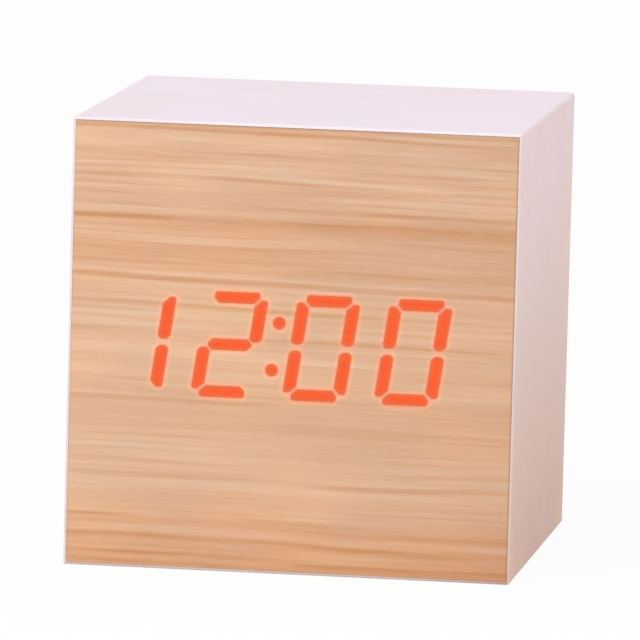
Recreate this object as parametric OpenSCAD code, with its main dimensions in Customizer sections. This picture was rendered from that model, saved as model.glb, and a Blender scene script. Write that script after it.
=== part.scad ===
// Cube alarm clock with a display that shines through a bamboo front.
// Frame: +X to the right of the display, +Y to the back, +Z up.
// Origin: centre of the base, on the surface that the clock stands on.

/* [Case] */
// Width of the case, left to right
case_w = 62; // [62:1:90]
// Height of the case
case_h = 62; // [62:1:90]
// Depth of the case, front to back
case_d = 62; // [56:1:90]
// Thickness of the fibreboard panels
panel_t = 3; // [2:0.1:3.1]
// Thickness of the film folded round the panels
film_t = 0.4; // [0.2:0.05:0.5]
// Rounding of the film's outer edges
edge_r = 0.5; // [0.2:0.05:1]
// Side of the square posts in the case's corners
post_w = 8; // [7:0.5:8]

/* [Front] */
// Thickness of the board behind the veneer
front_board_t = 2.6; // [2:0.1:4]
// Thickness of the bamboo veneer
veneer_t = 0.3; // [0.2:0.05:0.6]
// Gap between the front and the film's rim
front_gap = 0.1; // [0.05:0.05:0.3]

/* [Display] */
// Digits shown, left to right
shown = [1, 2, 0, 0]; // [0:1:9]
// Display's middle, to the right of the case's middle
display_x = -2.2; // [-2.35:0.05:2.35]
// Display's middle, above the case's middle
display_rise = 0.45; // [-2:0.05:2]
// Distance from digit to digit
digit_pitch = 12.7; // [12:0.1:12.7]
// Digit's width between the middles of its strokes
digit_w = 6.95; // [6:0.05:7]
// Digit's height between the middles of its strokes
digit_h = 13.05; // [11:0.05:14]
// Width of a level stroke
stroke = 1.55; // [1.2:0.05:1.8]
// Width of an upright stroke
upright_w = 1.7; // [1.2:0.05:1.8]
// Half of the gap between two upright strokes, along the stroke
stroke_gap = 0.45; // [0.3:0.05:0.7]
// Half of the gap between an upright and a level stroke, along the stroke
corner_gap = 0.3; // [0.25:0.05:0.6]
// Length cut off the pointed ends at the digit's corners
end_cut = 0.85; // [0.65:0.05:0.9]
// Corners cut off the ends where two upright strokes meet
tip_cut = 0.45; // [0.3:0.05:0.5]
// Rounding of the strokes' corners
tip_r = 0.4; // [0.1:0.05:0.45]
// Lean of the digits, in degrees
slant = 8; // [0:0.5:8.5]
// Diameter of the colon's dots
dot_d = 1.7; // [1:0.1:2]
// Height of a dot above or below the display's middle
dot_rise = 3.27; // [2.5:0.01:4]
// Depth of the display's frame
frame_depth = 6.5; // [5:0.1:8]
// Thickness of the milky filling in each well
diffuser_t = 2.5; // [1:0.1:4]
// Thickness of the display's base
base_t = 1.2; // [0.8:0.1:2]

/* [Boards] */
// Thickness of the circuit boards
pcb_t = 1.2; // [0.8:0.1:1.6]
// Width of the main board
main_w = 50; // [48:1:54]
// Height of the main board
main_h = 34; // [32:1:36]
// Width of the rails that carry the main board
rail_w = 5; // [4:0.5:6]
// Width of the ribbon cable
ribbon_w = 7.6; // [5:0.1:10]
// Thickness of the ribbon cable
ribbon_t = 1; // [0.6:0.1:1.4]
// Diameter of the battery leads
lead_d = 1; // [0.8:0.1:1.4]

/* [Back cover] */
// Thickness of the cover's plate
cover_t = 3; // [2.8:0.1:4]
// Depth of the cover below the case's back edge
cover_recess = 1.5; // [1.2:0.1:3]
// Gap between the cover and the case
cover_gap = 0.15; // [0.1:0.05:0.3]
// Diameter of the bosses that carry the key board
boss_d = 4; // [3.4:0.1:4.2]
// Diameter of the cover's screws
screw_d = 2.6; // [2:0.1:3]
// Length of the cover's screws below the head
screw_l = 10; // [8:0.5:14]
// Diameter of the screws' heads
head_d = 5; // [4:0.1:5.4]

/* [Batteries] */
// Diameter of a cell
cell_d = 10.5; // [9.8:0.1:10.8]
// Length of a cell with its terminal
cell_l = 44.5; // [42:0.1:44.5]
// Gap between two cells
cell_gap = 0.5; // [0.4:0.05:0.6]
// Thickness of the bay's walls
bay_wall = 1.2; // [1:0.1:1.3]
// Room for a spring between a cell and its contact plate
spring_l = 5.1; // [4.6:0.1:5.2]
// Diameter of the springs' wire
wire_d = 0.5; // [0.4:0.05:0.55]
// Turns of a spring
turns = 3.5; // [2.5:0.5:3.5]
// Thickness of the contact plates
contact_t = 0.4; // [0.3:0.05:0.5]

/* [Battery door] */
// Thickness of the door
door_t = 2; // [1.8:0.1:2.2]
// Gap round the door
door_gap = 0.2; // [0.15:0.05:0.3]
// Overlap of the door on the bay's edge
door_lap = 0.8; // [0.6:0.1:0.9]
// Diameter of the door's hinge pins
pin_d = 1.2; // [1:0.05:1.3]

/* [Buttons] */
// Diameter of a button
button_d = 5; // [4:0.1:5.4]
// Distance from button to button
button_pitch = 7.5; // [7.2:0.1:7.8]
// Height of a button above the cover
button_rise = 1; // [0.8:0.1:1.1]
// Travel of a button
button_travel = 0.5; // [0.3:0.05:0.6]
// Width of a switch under a button
switch_w = 4.5; // [4:0.1:5]
// Height of a switch
switch_h = 3.5; // [3:0.1:4]

/* [Power socket] */
// Width of the socket
usb_w = 7.5; // [7:0.1:7.8]
// Height of the socket
usb_h = 2.6; // [2.4:0.1:3]
// Socket's middle, to the right of the case's middle
usb_x = 11; // [10.6:0.1:11.2]

/* [Hidden] */
$fn = 48;

// Colours
film_colour = [0.93, 0.88, 0.89];
fibre_colour = [0.66, 0.52, 0.38];
bamboo_colour = [0.88, 0.70, 0.55];
lit_colour = [0.98, 0.36, 0.18];
wood_colour = [0.80, 0.64, 0.45];
black_colour = [0.10, 0.10, 0.11];
white_colour = [0.92, 0.92, 0.90];
board_colour = [0.10, 0.36, 0.22];
steel_colour = [0.75, 0.76, 0.77];
grey_colour = [0.55, 0.56, 0.58];

// Clearances
screw_fit = 0.03;
hole_fit = 0.2;
button_fit = 0.15;
frame_fit = 0.1;
pin_fit = 0.06;
seat_gap = 0.15;

// Depth by which a cut runs past a face, and by which joined shapes run into each other
past = 1;
bite = 0.2;

// Planes from front to back
front_y = -case_d / 2;
back_y = case_d / 2;
board_y = front_y + veneer_t;
panel_y = board_y + front_board_t;
frame_y = board_y + frame_depth;
base_y = frame_y + base_t;
board_standoff = 0.5;
main_front_y = base_y + board_standoff;
main_back_y = main_front_y + pcb_t;
cover_out_y = back_y - cover_recess;
cover_in_y = cover_out_y - cover_t;

// Opening inside the case
wall = film_t + panel_t;
in_x = case_w / 2 - wall;
in_z0 = wall;
in_z1 = case_h - wall;

// Display
display_z = case_h / 2 + display_rise;
digits = len(shown);
half_w = digit_w / 2;
half_h = digit_h / 2;
half_stroke = stroke / 2;
half_upright = upright_w / 2;
overhang = (half_h + half_stroke) * tan(slant);
frame_side = 0.65;
frame_top = 2.2;
frame_w = (digits - 1) * digit_pitch + digit_w + upright_w + 2 * overhang + 2 * frame_side;
frame_h = digit_h + stroke + 2 * frame_top;
arc_steps = 4;
led_w = 1.2;
led_t = 0.5;
led_h = 0.7;
pin_pitch = 2.54;
pins_per_row = 6;
pin_row_z = 7.62;
display_pin_d = 0.5;
pin_tail = 1;

// Strokes that are on for the digits 0 to 9: top, upper right, lower right, bottom, lower left,
// upper left, middle
STROKES_ON = [
    [0, 1, 2, 3, 4, 5], [1, 2], [0, 1, 3, 4, 6], [0, 1, 2, 3, 6], [1, 2, 5, 6],
    [0, 2, 3, 5, 6], [0, 2, 3, 4, 5, 6], [0, 1, 2], [0, 1, 2, 3, 4, 5, 6], [0, 1, 2, 3, 5, 6]
];

// Main board and its rails
rail_gap = 0.6;
rail_z = frame_h / 2 + rail_gap + rail_w / 2;
rail_end = 5;
rail_l = 2 * (in_x - rail_end);
board_corner = 1;
board_screw_inset = 6;
board_screw_x = main_w / 2 - board_screw_inset;
board_screw_d = 1.8;
board_screw_l = 5;
board_head_d = 3.4;
board_head_t = 1.2;

// Controller in the middle of the main board, with leads along both long sides
chip_x = -3;
chip_l = 17.9;
chip_w = 7.5;
chip_t = 2.3;
chip_lift = 0.1;
chip_draft = 0.25;
chip_dot_d = 1.2;
chip_dot_t = 0.2;
leads_per_side = 14;
lead_pitch = 1.27;
lead_w = 0.4;
lead_t = 0.2;
lead_rise = 1;
lead_reach = 1.3;

// Other parts on the main board, placed from the display's middle
top_row = 9;
crystal_x = 13;
crystal_d = 2;
crystal_l = 6;
crystal_lead_d = 0.3;
crystal_lead_l = 2;
buzzer_x = 15;
buzzer_d = 12;
buzzer_t = 8.5;
buzzer_edge = 0.8;
buzzer_hole_d = 2;
buzzer_hole_t = 2;
mic_x = -19;
mic_d = 6;
mic_t = 4.5;
mic_crimp = 0.4;
mic_felt_d = 4.4;
mic_felt_t = 0.3;
bead_x = -15;
bead_d = 2.2;
bead_l = 3;
bead_lead_d = 0.4;
bead_lead_l = 4;
bead_lead_gap = 1.2;
can_x = -1;
can_pitch = 18;
can_drop = 13.8;
can_d = 5;
can_l = 7;
can_groove = 0.35;
can_groove_y = 1.2;
resistor_w = 1.25;
resistor_t = 0.5;
resistor_h = 2;
resistor_drop = 9.6;
resistor_pitch = 2.54;
resistor_count = 8;
ribbon_rise = 12.5;
ribbon_z = display_z + ribbon_rise;
ribbon_wires = 6;
ribbon_bend = 3;
header_rim = 0.8;
header_h = 3.8;
header_t = 4;

// Battery bay, with the cells along X
cells = 3;
bay_clear = 0.4;
cell_pitch = cell_d + cell_gap;
bay_half = (cell_l + spring_l + 2 * contact_t) / 2;
bay_z0 = in_z0 + post_w + bay_clear;
bay_h = cells * cell_pitch + cell_gap;
bay_z1 = bay_z0 + bay_h + 2 * bay_wall;
door_in_y = cover_out_y - door_t;
cell_room = 0.5;
cell_y = door_in_y - cell_room - cell_d / 2;
cradle_fit = 0.15;
cradle_r = cell_d / 2 + cradle_fit;
rib_drop = 2.5;
bay_y = cell_y - cradle_r - bay_wall;
plate_x = bay_half - contact_t;
plate_w = 8;
plate_fit = 0.1;
tail_w = 2;
tail_drop = 2.5;
tail_y = bay_y - tail_drop;
cell_crimp = 0.5;
cell_groove = 0.3;
cap_r = 1.9;
cap_h = 1;
cap_edge = 0.25;

// Cover's edge, locating rims and gussets
cover_edge = 0.4;
bore_edge = 0.3;
rim_t = 1.2;
rim_h = 2.5;
gusset_t = 1;
gusset_h = 6;
gusset_pitch = 12;

// Door
door_half = bay_half + door_lap;
axis_z = bay_z0 + bay_wall;
axis_y = cover_out_y - door_t / 2;
door_top = bay_z1 - bay_wall + door_lap;
pin_l = 0.75;
scoop_r = 6;
scoop_drop = 3.6;
slit_x = 4.2;
slit_w = 0.6;
slit_l = 7;
door_edge = 0.3;
ridge_d = 1;
ridges = 3;
ridge_pitch = 1.5;
door_rib_w = 1.2;
door_rib_h = 1.4;
door_rib_end = 6;

// Key row above the bay
key_z = (bay_z1 + in_z1) / 2;
keys = 3;
key_x0 = -11.5;
key_slack = 0.1;
flange_rim = 0.7;
flange_t = 0.8;
plunger_d = 2.4;
plunger_l = 0.8;
plunger_in = 1.2;
plunger_fit = 0.1;
button_edge = 0.4;
button_rim = 1.2;
button_dish = 0.25;
switch_plate_t = 0.2;
switch_plate_rim = 0.2;
switch_leg_w = 0.6;
switch_leg_t = 0.2;
switch_leg_rise = 1;
switch_leg_reach = 0.9;
flange_y = cover_in_y - key_slack - flange_t;
switch_y = flange_y - plunger_l;
key_back_y = switch_y - switch_h;
key_front_y = key_back_y - pcb_t;
key_half = in_x - post_w - bay_clear;
boss_x = key_half - bay_clear / 2 - boss_d / 2;
key_screw_d = 1.6;
key_screw_l = 5;
key_head_d = 3;
key_head_t = 1;
usb_wall = 0.3;
usb_chamfer = 0.8;
usb_sink = 0.2;
usb_y = cover_out_y - usb_sink;
usb_floor = 1.6;
usb_lead_in = 0.3;
tongue_w = 3.8;
tongue_t = 0.7;
tongue_sink = 1;
tongue_y = usb_y - tongue_sink;
strips = 5;
strip_pitch = 0.65;
strip_w = 0.35;
strip_t = 0.12;
strip_l = 4;
strip_sink = 0.3;

// Screws
head_t = 1.5;
head_sink = 0.2;
screw_point = 0.8;
screw_crown = 0.6;
crown_steps = 4;
cross_l = 0.3;
cross_w = 0.07;
cross_depth = 0.5;

// Outlines in the front view

// Corners of a frame of the case, set in by t, from the lower left and round to the right
function case_corners(t) = [
    [-case_w / 2 + t, t], [case_w / 2 - t, t],
    [case_w / 2 - t, case_h - t], [-case_w / 2 + t, case_h - t]
];

// One mitred side between two such frames: 0 bottom, 1 right, 2 top, 3 left
function mitred_side(i, outer, inner) = [
    case_corners(outer)[i], case_corners(outer)[(i + 1) % 4],
    case_corners(inner)[(i + 1) % 4], case_corners(inner)[i]
];

function unit(v) = v / norm(v);

// Points of the arc that rounds corner c between its neighbours p and n
function corner_arc(p, c, n, r) =
    let (
        to_p = unit(p - c),
        to_n = unit(n - c),
        half = acos(to_p * to_n) / 2,
        middle = c + unit(to_p + to_n) * r / sin(half),
        from = c + to_p * r / tan(half) - middle,
        to = c + to_n * r / tan(half) - middle,
        start = atan2(from.y, from.x),
        turn = (atan2(to.y, to.x) - start + 540) % 360 - 180
    )
    [for (i = [0:arc_steps])
        middle + r * [cos(start + turn * i / arc_steps), sin(start + turn * i / arc_steps)]];

function rounded(points, r) =
    let (n = len(points))
    [for (i = [0:n - 1]) each corner_arc(points[(i + n - 1) % n], points[i], points[(i + 1) % n], r)];

// How far the top and right strokes reach towards the digit's corner
top_end = half_w + half_stroke - corner_gap - end_cut;
right_end = half_h + half_upright - corner_gap - end_cut;

// Corners of the top, upper right and middle strokes
top_stroke = [
    [-top_end, half_h + half_stroke],
    [top_end, half_h + half_stroke],
    [top_end, half_h + half_stroke - end_cut],
    [half_w - half_stroke - corner_gap, half_h - half_stroke],
    [-half_w + half_stroke + corner_gap, half_h - half_stroke],
    [-top_end, half_h + half_stroke - end_cut]
];
right_stroke = [
    [half_w + half_upright - end_cut, right_end],
    [half_w + half_upright, right_end],
    [half_w + half_upright, stroke_gap + tip_cut],
    [half_w + half_upright - tip_cut, stroke_gap],
    [half_w - half_upright + tip_cut, stroke_gap],
    [half_w - half_upright, stroke_gap + tip_cut],
    [half_w - half_upright, half_h - half_upright - corner_gap]
];
middle_stroke = [
    [-half_w + corner_gap, 0],
    [-half_w + corner_gap + half_stroke, half_stroke],
    [half_w - corner_gap - half_stroke, half_stroke],
    [half_w - corner_gap, 0],
    [half_w - corner_gap - half_stroke, -half_stroke],
    [-half_w + corner_gap + half_stroke, -half_stroke]
];

function flipped(points, sx, sy) = [for (p = points) [sx * p.x, sy * p.y]];

STROKES = [
    top_stroke, right_stroke, flipped(right_stroke, 1, -1), flipped(top_stroke, 1, -1),
    flipped(right_stroke, -1, -1), flipped(right_stroke, -1, 1), middle_stroke
];

function leaned(p) = [p.x + p.y * tan(slant), p.y];
function middle(points) =
    let (xs = [for (p = points) p.x], zs = [for (p = points) p.y])
    [min(xs) + max(xs), min(zs) + max(zs)] / 2;

// A shape of the front view, drawn from y0 back to y1
module upright(y0, y1) {
    translate([0, y1, 0])
        rotate([90, 0, 0])
            linear_extrude(y1 - y0)
                children();
}

// A cylinder along Y from y0 back to y1
module rod_y(x, z, d, y0, y1) {
    translate([x, y1, z])
        rotate([90, 0, 0])
            cylinder(d = d, h = y1 - y0);
}

// A box given by its lower and upper corners
module block(low, high) {
    translate(low)
        cube(high - low);
}

// Outline of a plate across its thickness, with the corners of its back face cut by c. The first
// corner is cut by c0.
function plate_outline(low, high, front, back, c0, c) = concat(
    [[low, front]],
    c0 > 0 ? [[low, back - c0], [low + c0, back]] : [[low, back]],
    [[high - c, back], [high, back - c], [high, front]]
);

// A plate from its lower to its upper corner, with the edges of its back face cut at 45 degrees by
// c, and its bottom edge by c0
module chamfered_plate(low, high, c0, c) {
    intersection() {
        translate([0, 0, low.z])
            linear_extrude(high.z - low.z)
                polygon(plate_outline(low.x, high.x, low.y, high.y, c, c));
        translate([low.x, 0, 0])
            rotate([90, 0, 90])
                linear_extrude(high.x - low.x)
                    polygon([for (p = plate_outline(low.z, high.z, low.y, high.y, c0, c)) [p.y, p.x]]);
    }
}

module rounded_rectangle(w, h, r) {
    square([w - 2 * r, h], center = true);
    square([w, h - 2 * r], center = true);
    for (x = [-1, 1], y = [-1, 1])
        translate([x * (w / 2 - r), y * (h / 2 - r)])
            circle(r);
}

// Middle of digit i, 0 at the left
function digit_middle(i) = [display_x + (i - (digits - 1) / 2) * digit_pitch, display_z];

module place_digit(i) {
    translate(digit_middle(i))
        children();
}

module stroke_shape(s) {
    polygon([for (p = rounded(STROKES[s], tip_r)) leaned(p)]);
}

module lit_strokes() {
    for (i = [0:digits - 1])
        for (s = STROKES_ON[shown[i]])
            place_digit(i)
                stroke_shape(s);
}

module every_stroke() {
    for (i = [0:digits - 1])
        for (s = [0:len(STROKES) - 1])
            place_digit(i)
                stroke_shape(s);
}

module colon_dots() {
    for (side = [-1, 1])
        translate([display_x + side * dot_rise * tan(slant), display_z + side * dot_rise])
            circle(d = dot_d);
}

module front_outline() {
    translate([-case_w / 2 + film_t + front_gap, film_t + front_gap])
        square([case_w - 2 * (film_t + front_gap), case_h - 2 * (film_t + front_gap)]);
}

module frame_outline(gap) {
    translate([display_x, display_z])
        square([frame_w + 2 * gap, frame_h + 2 * gap], center = true);
}

// Case

module panel(i) {
    color(fibre_colour)
        upright(panel_y, back_y - film_t)
            polygon(mitred_side(i, film_t, wall));
}

module rounded_case() {
    intersection() {
        upright(front_y, back_y)
            translate([0, case_h / 2])
                rounded_rectangle(case_w, case_h, edge_r);
        linear_extrude(case_h)
            rounded_rectangle(case_w, case_d, edge_r);
        translate([-case_w / 2, 0, case_h / 2])
            rotate([90, 0, 90])
                linear_extrude(case_w)
                    rounded_rectangle(case_d, case_h, edge_r);
    }
}

module wrap_film() {
    color(film_colour)
        difference() {
            rounded_case();
            block(
                [film_t - case_w / 2, front_y - past, film_t],
                [case_w / 2 - film_t, back_y - film_t, case_h - film_t]
            );
            block([-in_x, front_y - past, in_z0], [in_x, back_y + past, in_z1]);
        }
}

module front_board() {
    color(fibre_colour)
        upright(board_y, panel_y)
            difference() {
                front_outline();
                frame_outline(frame_fit);
            }
}

module front_veneer() {
    color(bamboo_colour)
        upright(front_y, board_y)
            difference() {
                front_outline();
                lit_strokes();
                colon_dots();
            }
}

module lit_segments() {
    color(lit_colour)
        upright(front_y, board_y)
            lit_strokes();
}

module lit_colon() {
    color(lit_colour)
        upright(front_y, board_y)
            colon_dots();
}

module place_cover_screws() {
    for (x = [-1, 1], z = [in_z0 + post_w / 2, in_z1 - post_w / 2])
        translate([x * (in_x - post_w / 2), 0, z])
            children();
}

module corner_posts() {
    color(wood_colour)
        difference() {
            place_cover_screws()
                block([-post_w / 2, panel_y, -post_w / 2], [post_w / 2, cover_in_y, post_w / 2]);
            place_cover_screws()
                rod_y(0, 0, screw_d + 2 * screw_fit, cover_in_y - screw_l, cover_in_y + past);
        }
}

module place_board_screws() {
    for (x = [-1, 1], z = [-1, 1])
        translate([x * board_screw_x, 0, display_z + z * rail_z])
            children();
}

module board_rails() {
    color(wood_colour)
        difference() {
            for (z = [-1, 1])
                translate([0, 0, display_z + z * rail_z])
                    block([-rail_l / 2, panel_y, -rail_w / 2], [rail_l / 2, main_front_y, rail_w / 2]);
            place_board_screws()
                rod_y(
                    0, 0, board_screw_d + 2 * screw_fit,
                    main_front_y - board_screw_l, main_front_y + past
                );
        }
}

// Display

module display_frame() {
    color(white_colour)
        upright(board_y, frame_y)
            difference() {
                frame_outline(0);
                every_stroke();
                colon_dots();
            }
}

module display_diffusers() {
    color(white_colour)
        upright(board_y, board_y + diffuser_t) {
            every_stroke();
            colon_dots();
        }
}

module display_base() {
    color(board_colour)
        upright(frame_y, base_y)
            frame_outline(0);
}

module led_chip(p) {
    translate([p.x, frame_y, p.y])
        block([-led_w / 2, -led_t, -led_h / 2], [led_w / 2, 0, led_h / 2]);
}

module led_chips() {
    color([0.95, 0.85, 0.45]) {
        for (i = [0:digits - 1])
            for (s = [0:len(STROKES) - 1])
                led_chip(digit_middle(i) + leaned(middle(STROKES[s])));
        for (side = [-1, 1])
            led_chip([display_x, display_z] + leaned([0, side * dot_rise]));
    }
}

module place_pins() {
    for (i = [0:pins_per_row - 1], side = [-1, 1])
        translate([display_x + (i - (pins_per_row - 1) / 2) * pin_pitch, 0, display_z + side * pin_row_z])
            children();
}

module display_pins() {
    color(steel_colour)
        place_pins()
            rod_y(0, 0, display_pin_d, base_y, main_back_y + pin_tail);
}

// Main board

module main_board() {
    color(board_colour)
        difference() {
            upright(main_front_y, main_back_y)
                translate([0, display_z])
                    rounded_rectangle(main_w, main_h, board_corner);
            place_pins()
                rod_y(0, 0, display_pin_d + 2 * hole_fit, main_front_y - past, main_back_y + past);
            place_board_screws()
                rod_y(0, 0, board_screw_d + 2 * hole_fit, main_front_y - past, main_back_y + past);
        }
}

// A shape turned about Y, from a profile of radius and height above y = 0
module turned_y(profile) {
    rotate([-90, 0, 0])
        rotate_extrude()
            polygon(profile);
}

// A pan-head screw along Y with a cross in its head, driven towards -Y, its head's seat at y = 0
module screw(d, l, head, head_t) {
    crown = screw_crown * head_t;
    difference() {
        turned_y(concat(
            [[0, -l], [d / 6, -l], [d / 2, screw_point - l], [d / 2, 0], [head / 2, 0]],
            [for (i = [0:crown_steps])
                [head / 2 * cos(90 * i / crown_steps), head_t - crown + crown * sin(90 * i / crown_steps)]]
        ));
        for (turn = [0, 90])
            rotate([0, turn, 0])
                block(
                    [-cross_l * head, (1 - cross_depth) * head_t, -cross_w * head],
                    [cross_l * head, head_t + past, cross_w * head]
                );
    }
}

module main_board_screws() {
    color(steel_colour)
        place_board_screws()
            translate([0, main_back_y, 0])
                screw(board_screw_d, board_screw_l + pcb_t - hole_fit, board_head_d, board_head_t);
}

// Side of the moulded body, widest where the leads leave it
function chip_side(size) = [
    [-size / 2 + chip_draft, chip_lift], [size / 2 - chip_draft, chip_lift], [size / 2, lead_rise],
    [size / 2 - chip_draft, chip_t], [-size / 2 + chip_draft, chip_t], [-size / 2, lead_rise]
];

module controller_chip() {
    color(black_colour)
        translate([chip_x, main_back_y, display_z])
            difference() {
                intersection() {
                    translate([0, 0, -chip_w / 2])
                        linear_extrude(chip_w)
                            polygon(chip_side(chip_l));
                    translate([-chip_l / 2, 0, 0])
                        rotate([90, 0, 90])
                            linear_extrude(chip_l)
                                polygon([for (p = chip_side(chip_w)) [p.y, p.x]]);
                }
                rod_y(
                    chip_dot_d - chip_l / 2, chip_w / 2 - chip_dot_d, chip_dot_d,
                    chip_t - chip_dot_t, chip_t + past
                );
            }
}

// A bent lead of a part on a board: out of the part's side at height rise, down, and out along the
// board. Points are reach and height.
function bent_lead(rise, reach, t) = [
    [0, rise - t / 2], [reach / 4, rise - t / 2], [reach / 2 - t / 2, 0], [reach, 0], [reach, t],
    [reach / 2 + t / 2, t], [reach / 4 + t, rise + t / 2], [0, rise + t / 2]
];

module controller_leads() {
    color(steel_colour)
        translate([chip_x, main_back_y, display_z])
            for (i = [0:leads_per_side - 1], side = [0, 1])
                mirror([0, 0, side])
                    translate([(i - (leads_per_side - 1) / 2) * lead_pitch - lead_w / 2, 0, 0])
                        rotate([90, 0, 90])
                            linear_extrude(lead_w)
                                polygon([for (p = bent_lead(lead_rise, lead_reach, lead_t))
                                    [p.y, p.x + chip_w / 2]]);
}

module crystal() {
    color(steel_colour)
        translate([crystal_x, main_back_y + crystal_d / 2, display_z + top_row])
            rotate([0, 90, 0]) {
                cylinder(d = crystal_d, h = crystal_l);
                for (side = [-1, 1])
                    translate([0, side * crystal_d / 4, -crystal_lead_l])
                        cylinder(d = crystal_lead_d, h = crystal_lead_l + bite);
            }
}

module buzzer() {
    r = buzzer_d / 2;
    hole_r = buzzer_hole_d / 2;
    color(black_colour)
        translate([buzzer_x, main_back_y, display_z])
            turned_y([
                [0, 0], [r, 0], [r, buzzer_t - buzzer_edge], [r - buzzer_edge, buzzer_t],
                [hole_r, buzzer_t], [hole_r, buzzer_t - buzzer_hole_t], [0, buzzer_t - buzzer_hole_t]
            ]);
}

module sound_sensor() {
    r = mic_d / 2;
    felt_r = mic_felt_d / 2;
    color(grey_colour)
        translate([mic_x, main_back_y, display_z])
            turned_y([
                [0, 0], [r - mic_crimp, 0], [r, mic_crimp], [r, mic_t - mic_crimp], [r - mic_crimp, mic_t],
                [felt_r, mic_t], [felt_r, mic_t - mic_felt_t], [0, mic_t - mic_felt_t]
            ]);
}

module temperature_sensor() {
    r = bead_d / 2;
    color(black_colour)
        translate([bead_x, main_back_y, display_z + top_row]) {
            for (side = [-1, 1])
                rod_y(side * bead_lead_gap / 2, 0, bead_lead_d, 0, bead_lead_l + r / 2);
            translate([0, bead_lead_l, 0])
                turned_y(concat(
                    [[0, 0], [r - r / 4, 0]],
                    [for (i = [0:crown_steps])
                        [r * cos(90 * i / crown_steps), bead_l - r + r * sin(90 * i / crown_steps)]]
                ));
        }
}

module capacitors() {
    r = can_d / 2;
    color(grey_colour)
        for (side = [-1, 1])
            translate([can_x + side * can_pitch / 2, main_back_y, display_z - can_drop])
                turned_y([
                    [0, 0], [r, 0], [r, can_groove_y - can_groove], [r - can_groove, can_groove_y],
                    [r, can_groove_y + can_groove], [r, can_l - can_groove], [r - can_groove, can_l],
                    [r - 2 * can_groove, can_l - can_groove], [0, can_l - can_groove]
                ]);
}

module resistors() {
    color(black_colour)
        for (i = [0:resistor_count - 1])
            translate([
                (i - (resistor_count - 1) / 2) * resistor_pitch, main_back_y, display_z - resistor_drop
            ])
                block(
                    [-resistor_w / 2, 0, -resistor_h / 2],
                    [resistor_w / 2, resistor_t, resistor_h / 2]
                );
}

// Wires side by side that leave the main board, rise in two bends and meet the key board
module ribbon_cable() {
    bend_y = (main_back_y + key_front_y) / 2;
    pitch = (ribbon_w - ribbon_t) / (ribbon_wires - 1);
    color(grey_colour)
        for (i = [0:ribbon_wires - 1])
            translate([(i - (ribbon_wires - 1) / 2) * pitch, 0, 0])
                bent_wire(
                    [
                        [0, main_back_y + header_t, ribbon_z], [0, bend_y, ribbon_z],
                        [0, bend_y, key_z], [0, key_front_y - header_t, key_z]
                    ],
                    ribbon_t, ribbon_bend
                );
}

module header() {
    block(
        [-ribbon_w / 2 - header_rim, 0, -header_h / 2],
        [ribbon_w / 2 + header_rim, header_t, header_h / 2]
    );
}

module ribbon_headers() {
    color(white_colour) {
        translate([0, main_back_y, ribbon_z])
            header();
        translate([0, key_front_y - header_t, key_z])
            header();
    }
}

// Back cover

module cover_plate() {
    chamfered_plate(
        [cover_gap - in_x, cover_in_y, in_z0 + cover_gap],
        [in_x - cover_gap, cover_out_y, in_z1 - cover_gap],
        cover_edge, cover_edge
    );
}

// Ribs inside the plate that fit between the posts, at the bottom and at the top
module locating_rims() {
    for (z = [in_z0 + cover_gap, in_z1 - cover_gap - rim_t])
        block([-key_half, cover_in_y - rim_h, z], [key_half, cover_in_y + bite, z + rim_t]);
}

// Triangular ribs that brace the bay's floor against the plate
module gussets() {
    foot_z = in_z0 + cover_gap + rim_t;
    for (i = [-1:1])
        translate([i * gusset_pitch - gusset_t / 2, 0, 0])
            rotate([90, 0, 90])
                linear_extrude(gusset_t)
                    polygon([
                        [cover_in_y + bite, foot_z], [cover_in_y, foot_z],
                        [cover_in_y - gusset_h, bay_z0], [cover_in_y - gusset_h, bay_z0 + bite],
                        [cover_in_y + bite, bay_z0 + bite]
                    ]);
}

function cell_z(k) = bay_z0 + bay_wall + cell_gap + cell_d / 2 + k * cell_pitch;

module bay_space() {
    for (k = [0:cells - 1])
        translate([-bay_half, cell_y, cell_z(k)])
            rotate([0, 90, 0])
                cylinder(r = cradle_r, h = 2 * bay_half);
    block(
        [-bay_half, cell_y - rib_drop, bay_z0 + bay_wall],
        [bay_half, cover_out_y + past, bay_z1 - bay_wall]
    );
}

module door_recess() {
    block(
        [-door_half - door_gap, door_in_y - seat_gap, axis_z - door_t / 2 - door_gap],
        [door_half + door_gap, cover_out_y + past, door_top + door_gap]
    );
    rod_y(0, door_top - scoop_drop, 2 * scoop_r, door_in_y - seat_gap, cover_out_y + past);
    translate([-door_half - door_gap - pin_l - pin_fit, axis_y, axis_z])
        rotate([0, 90, 0])
            cylinder(d = pin_d + 2 * pin_fit, h = 2 * (door_half + door_gap + pin_l + pin_fit));
}

// Place of the button in the row, 0 to 2
function key_x(i) = key_x0 + i * button_pitch;

function usb_outline(inset) =
    let (
        x = usb_w / 2 - inset,
        z = usb_h / 2 - inset,
        c = usb_chamfer - inset * (2 - sqrt(2))
    )
    [[-x, z], [x, z], [x, c - z], [x - c, -z], [c - x, -z], [-x, c - z]];

module usb_shape(inset) {
    translate([usb_x, key_z])
        polygon(usb_outline(inset));
}

// Side of the bay at which a plate lies, -1 left or 1 right: plate 0 is the first cell's positive
// end, and each later plate joins two cells or ends the row
function plate_side(i) = i % 2 == 0 ? -1 : 1;

module tail_slits() {
    for (i = [0, cells])
        translate([plate_side(i) * (plate_x + contact_t / 2), bay_y, cell_z(min(i, cells - 1))])
            block(
                [-contact_t / 2 - hole_fit / 2, -past, -tail_w / 2 - hole_fit],
                [contact_t / 2 + hole_fit / 2, bay_wall + past, tail_w / 2 + hole_fit]
            );
}

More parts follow.
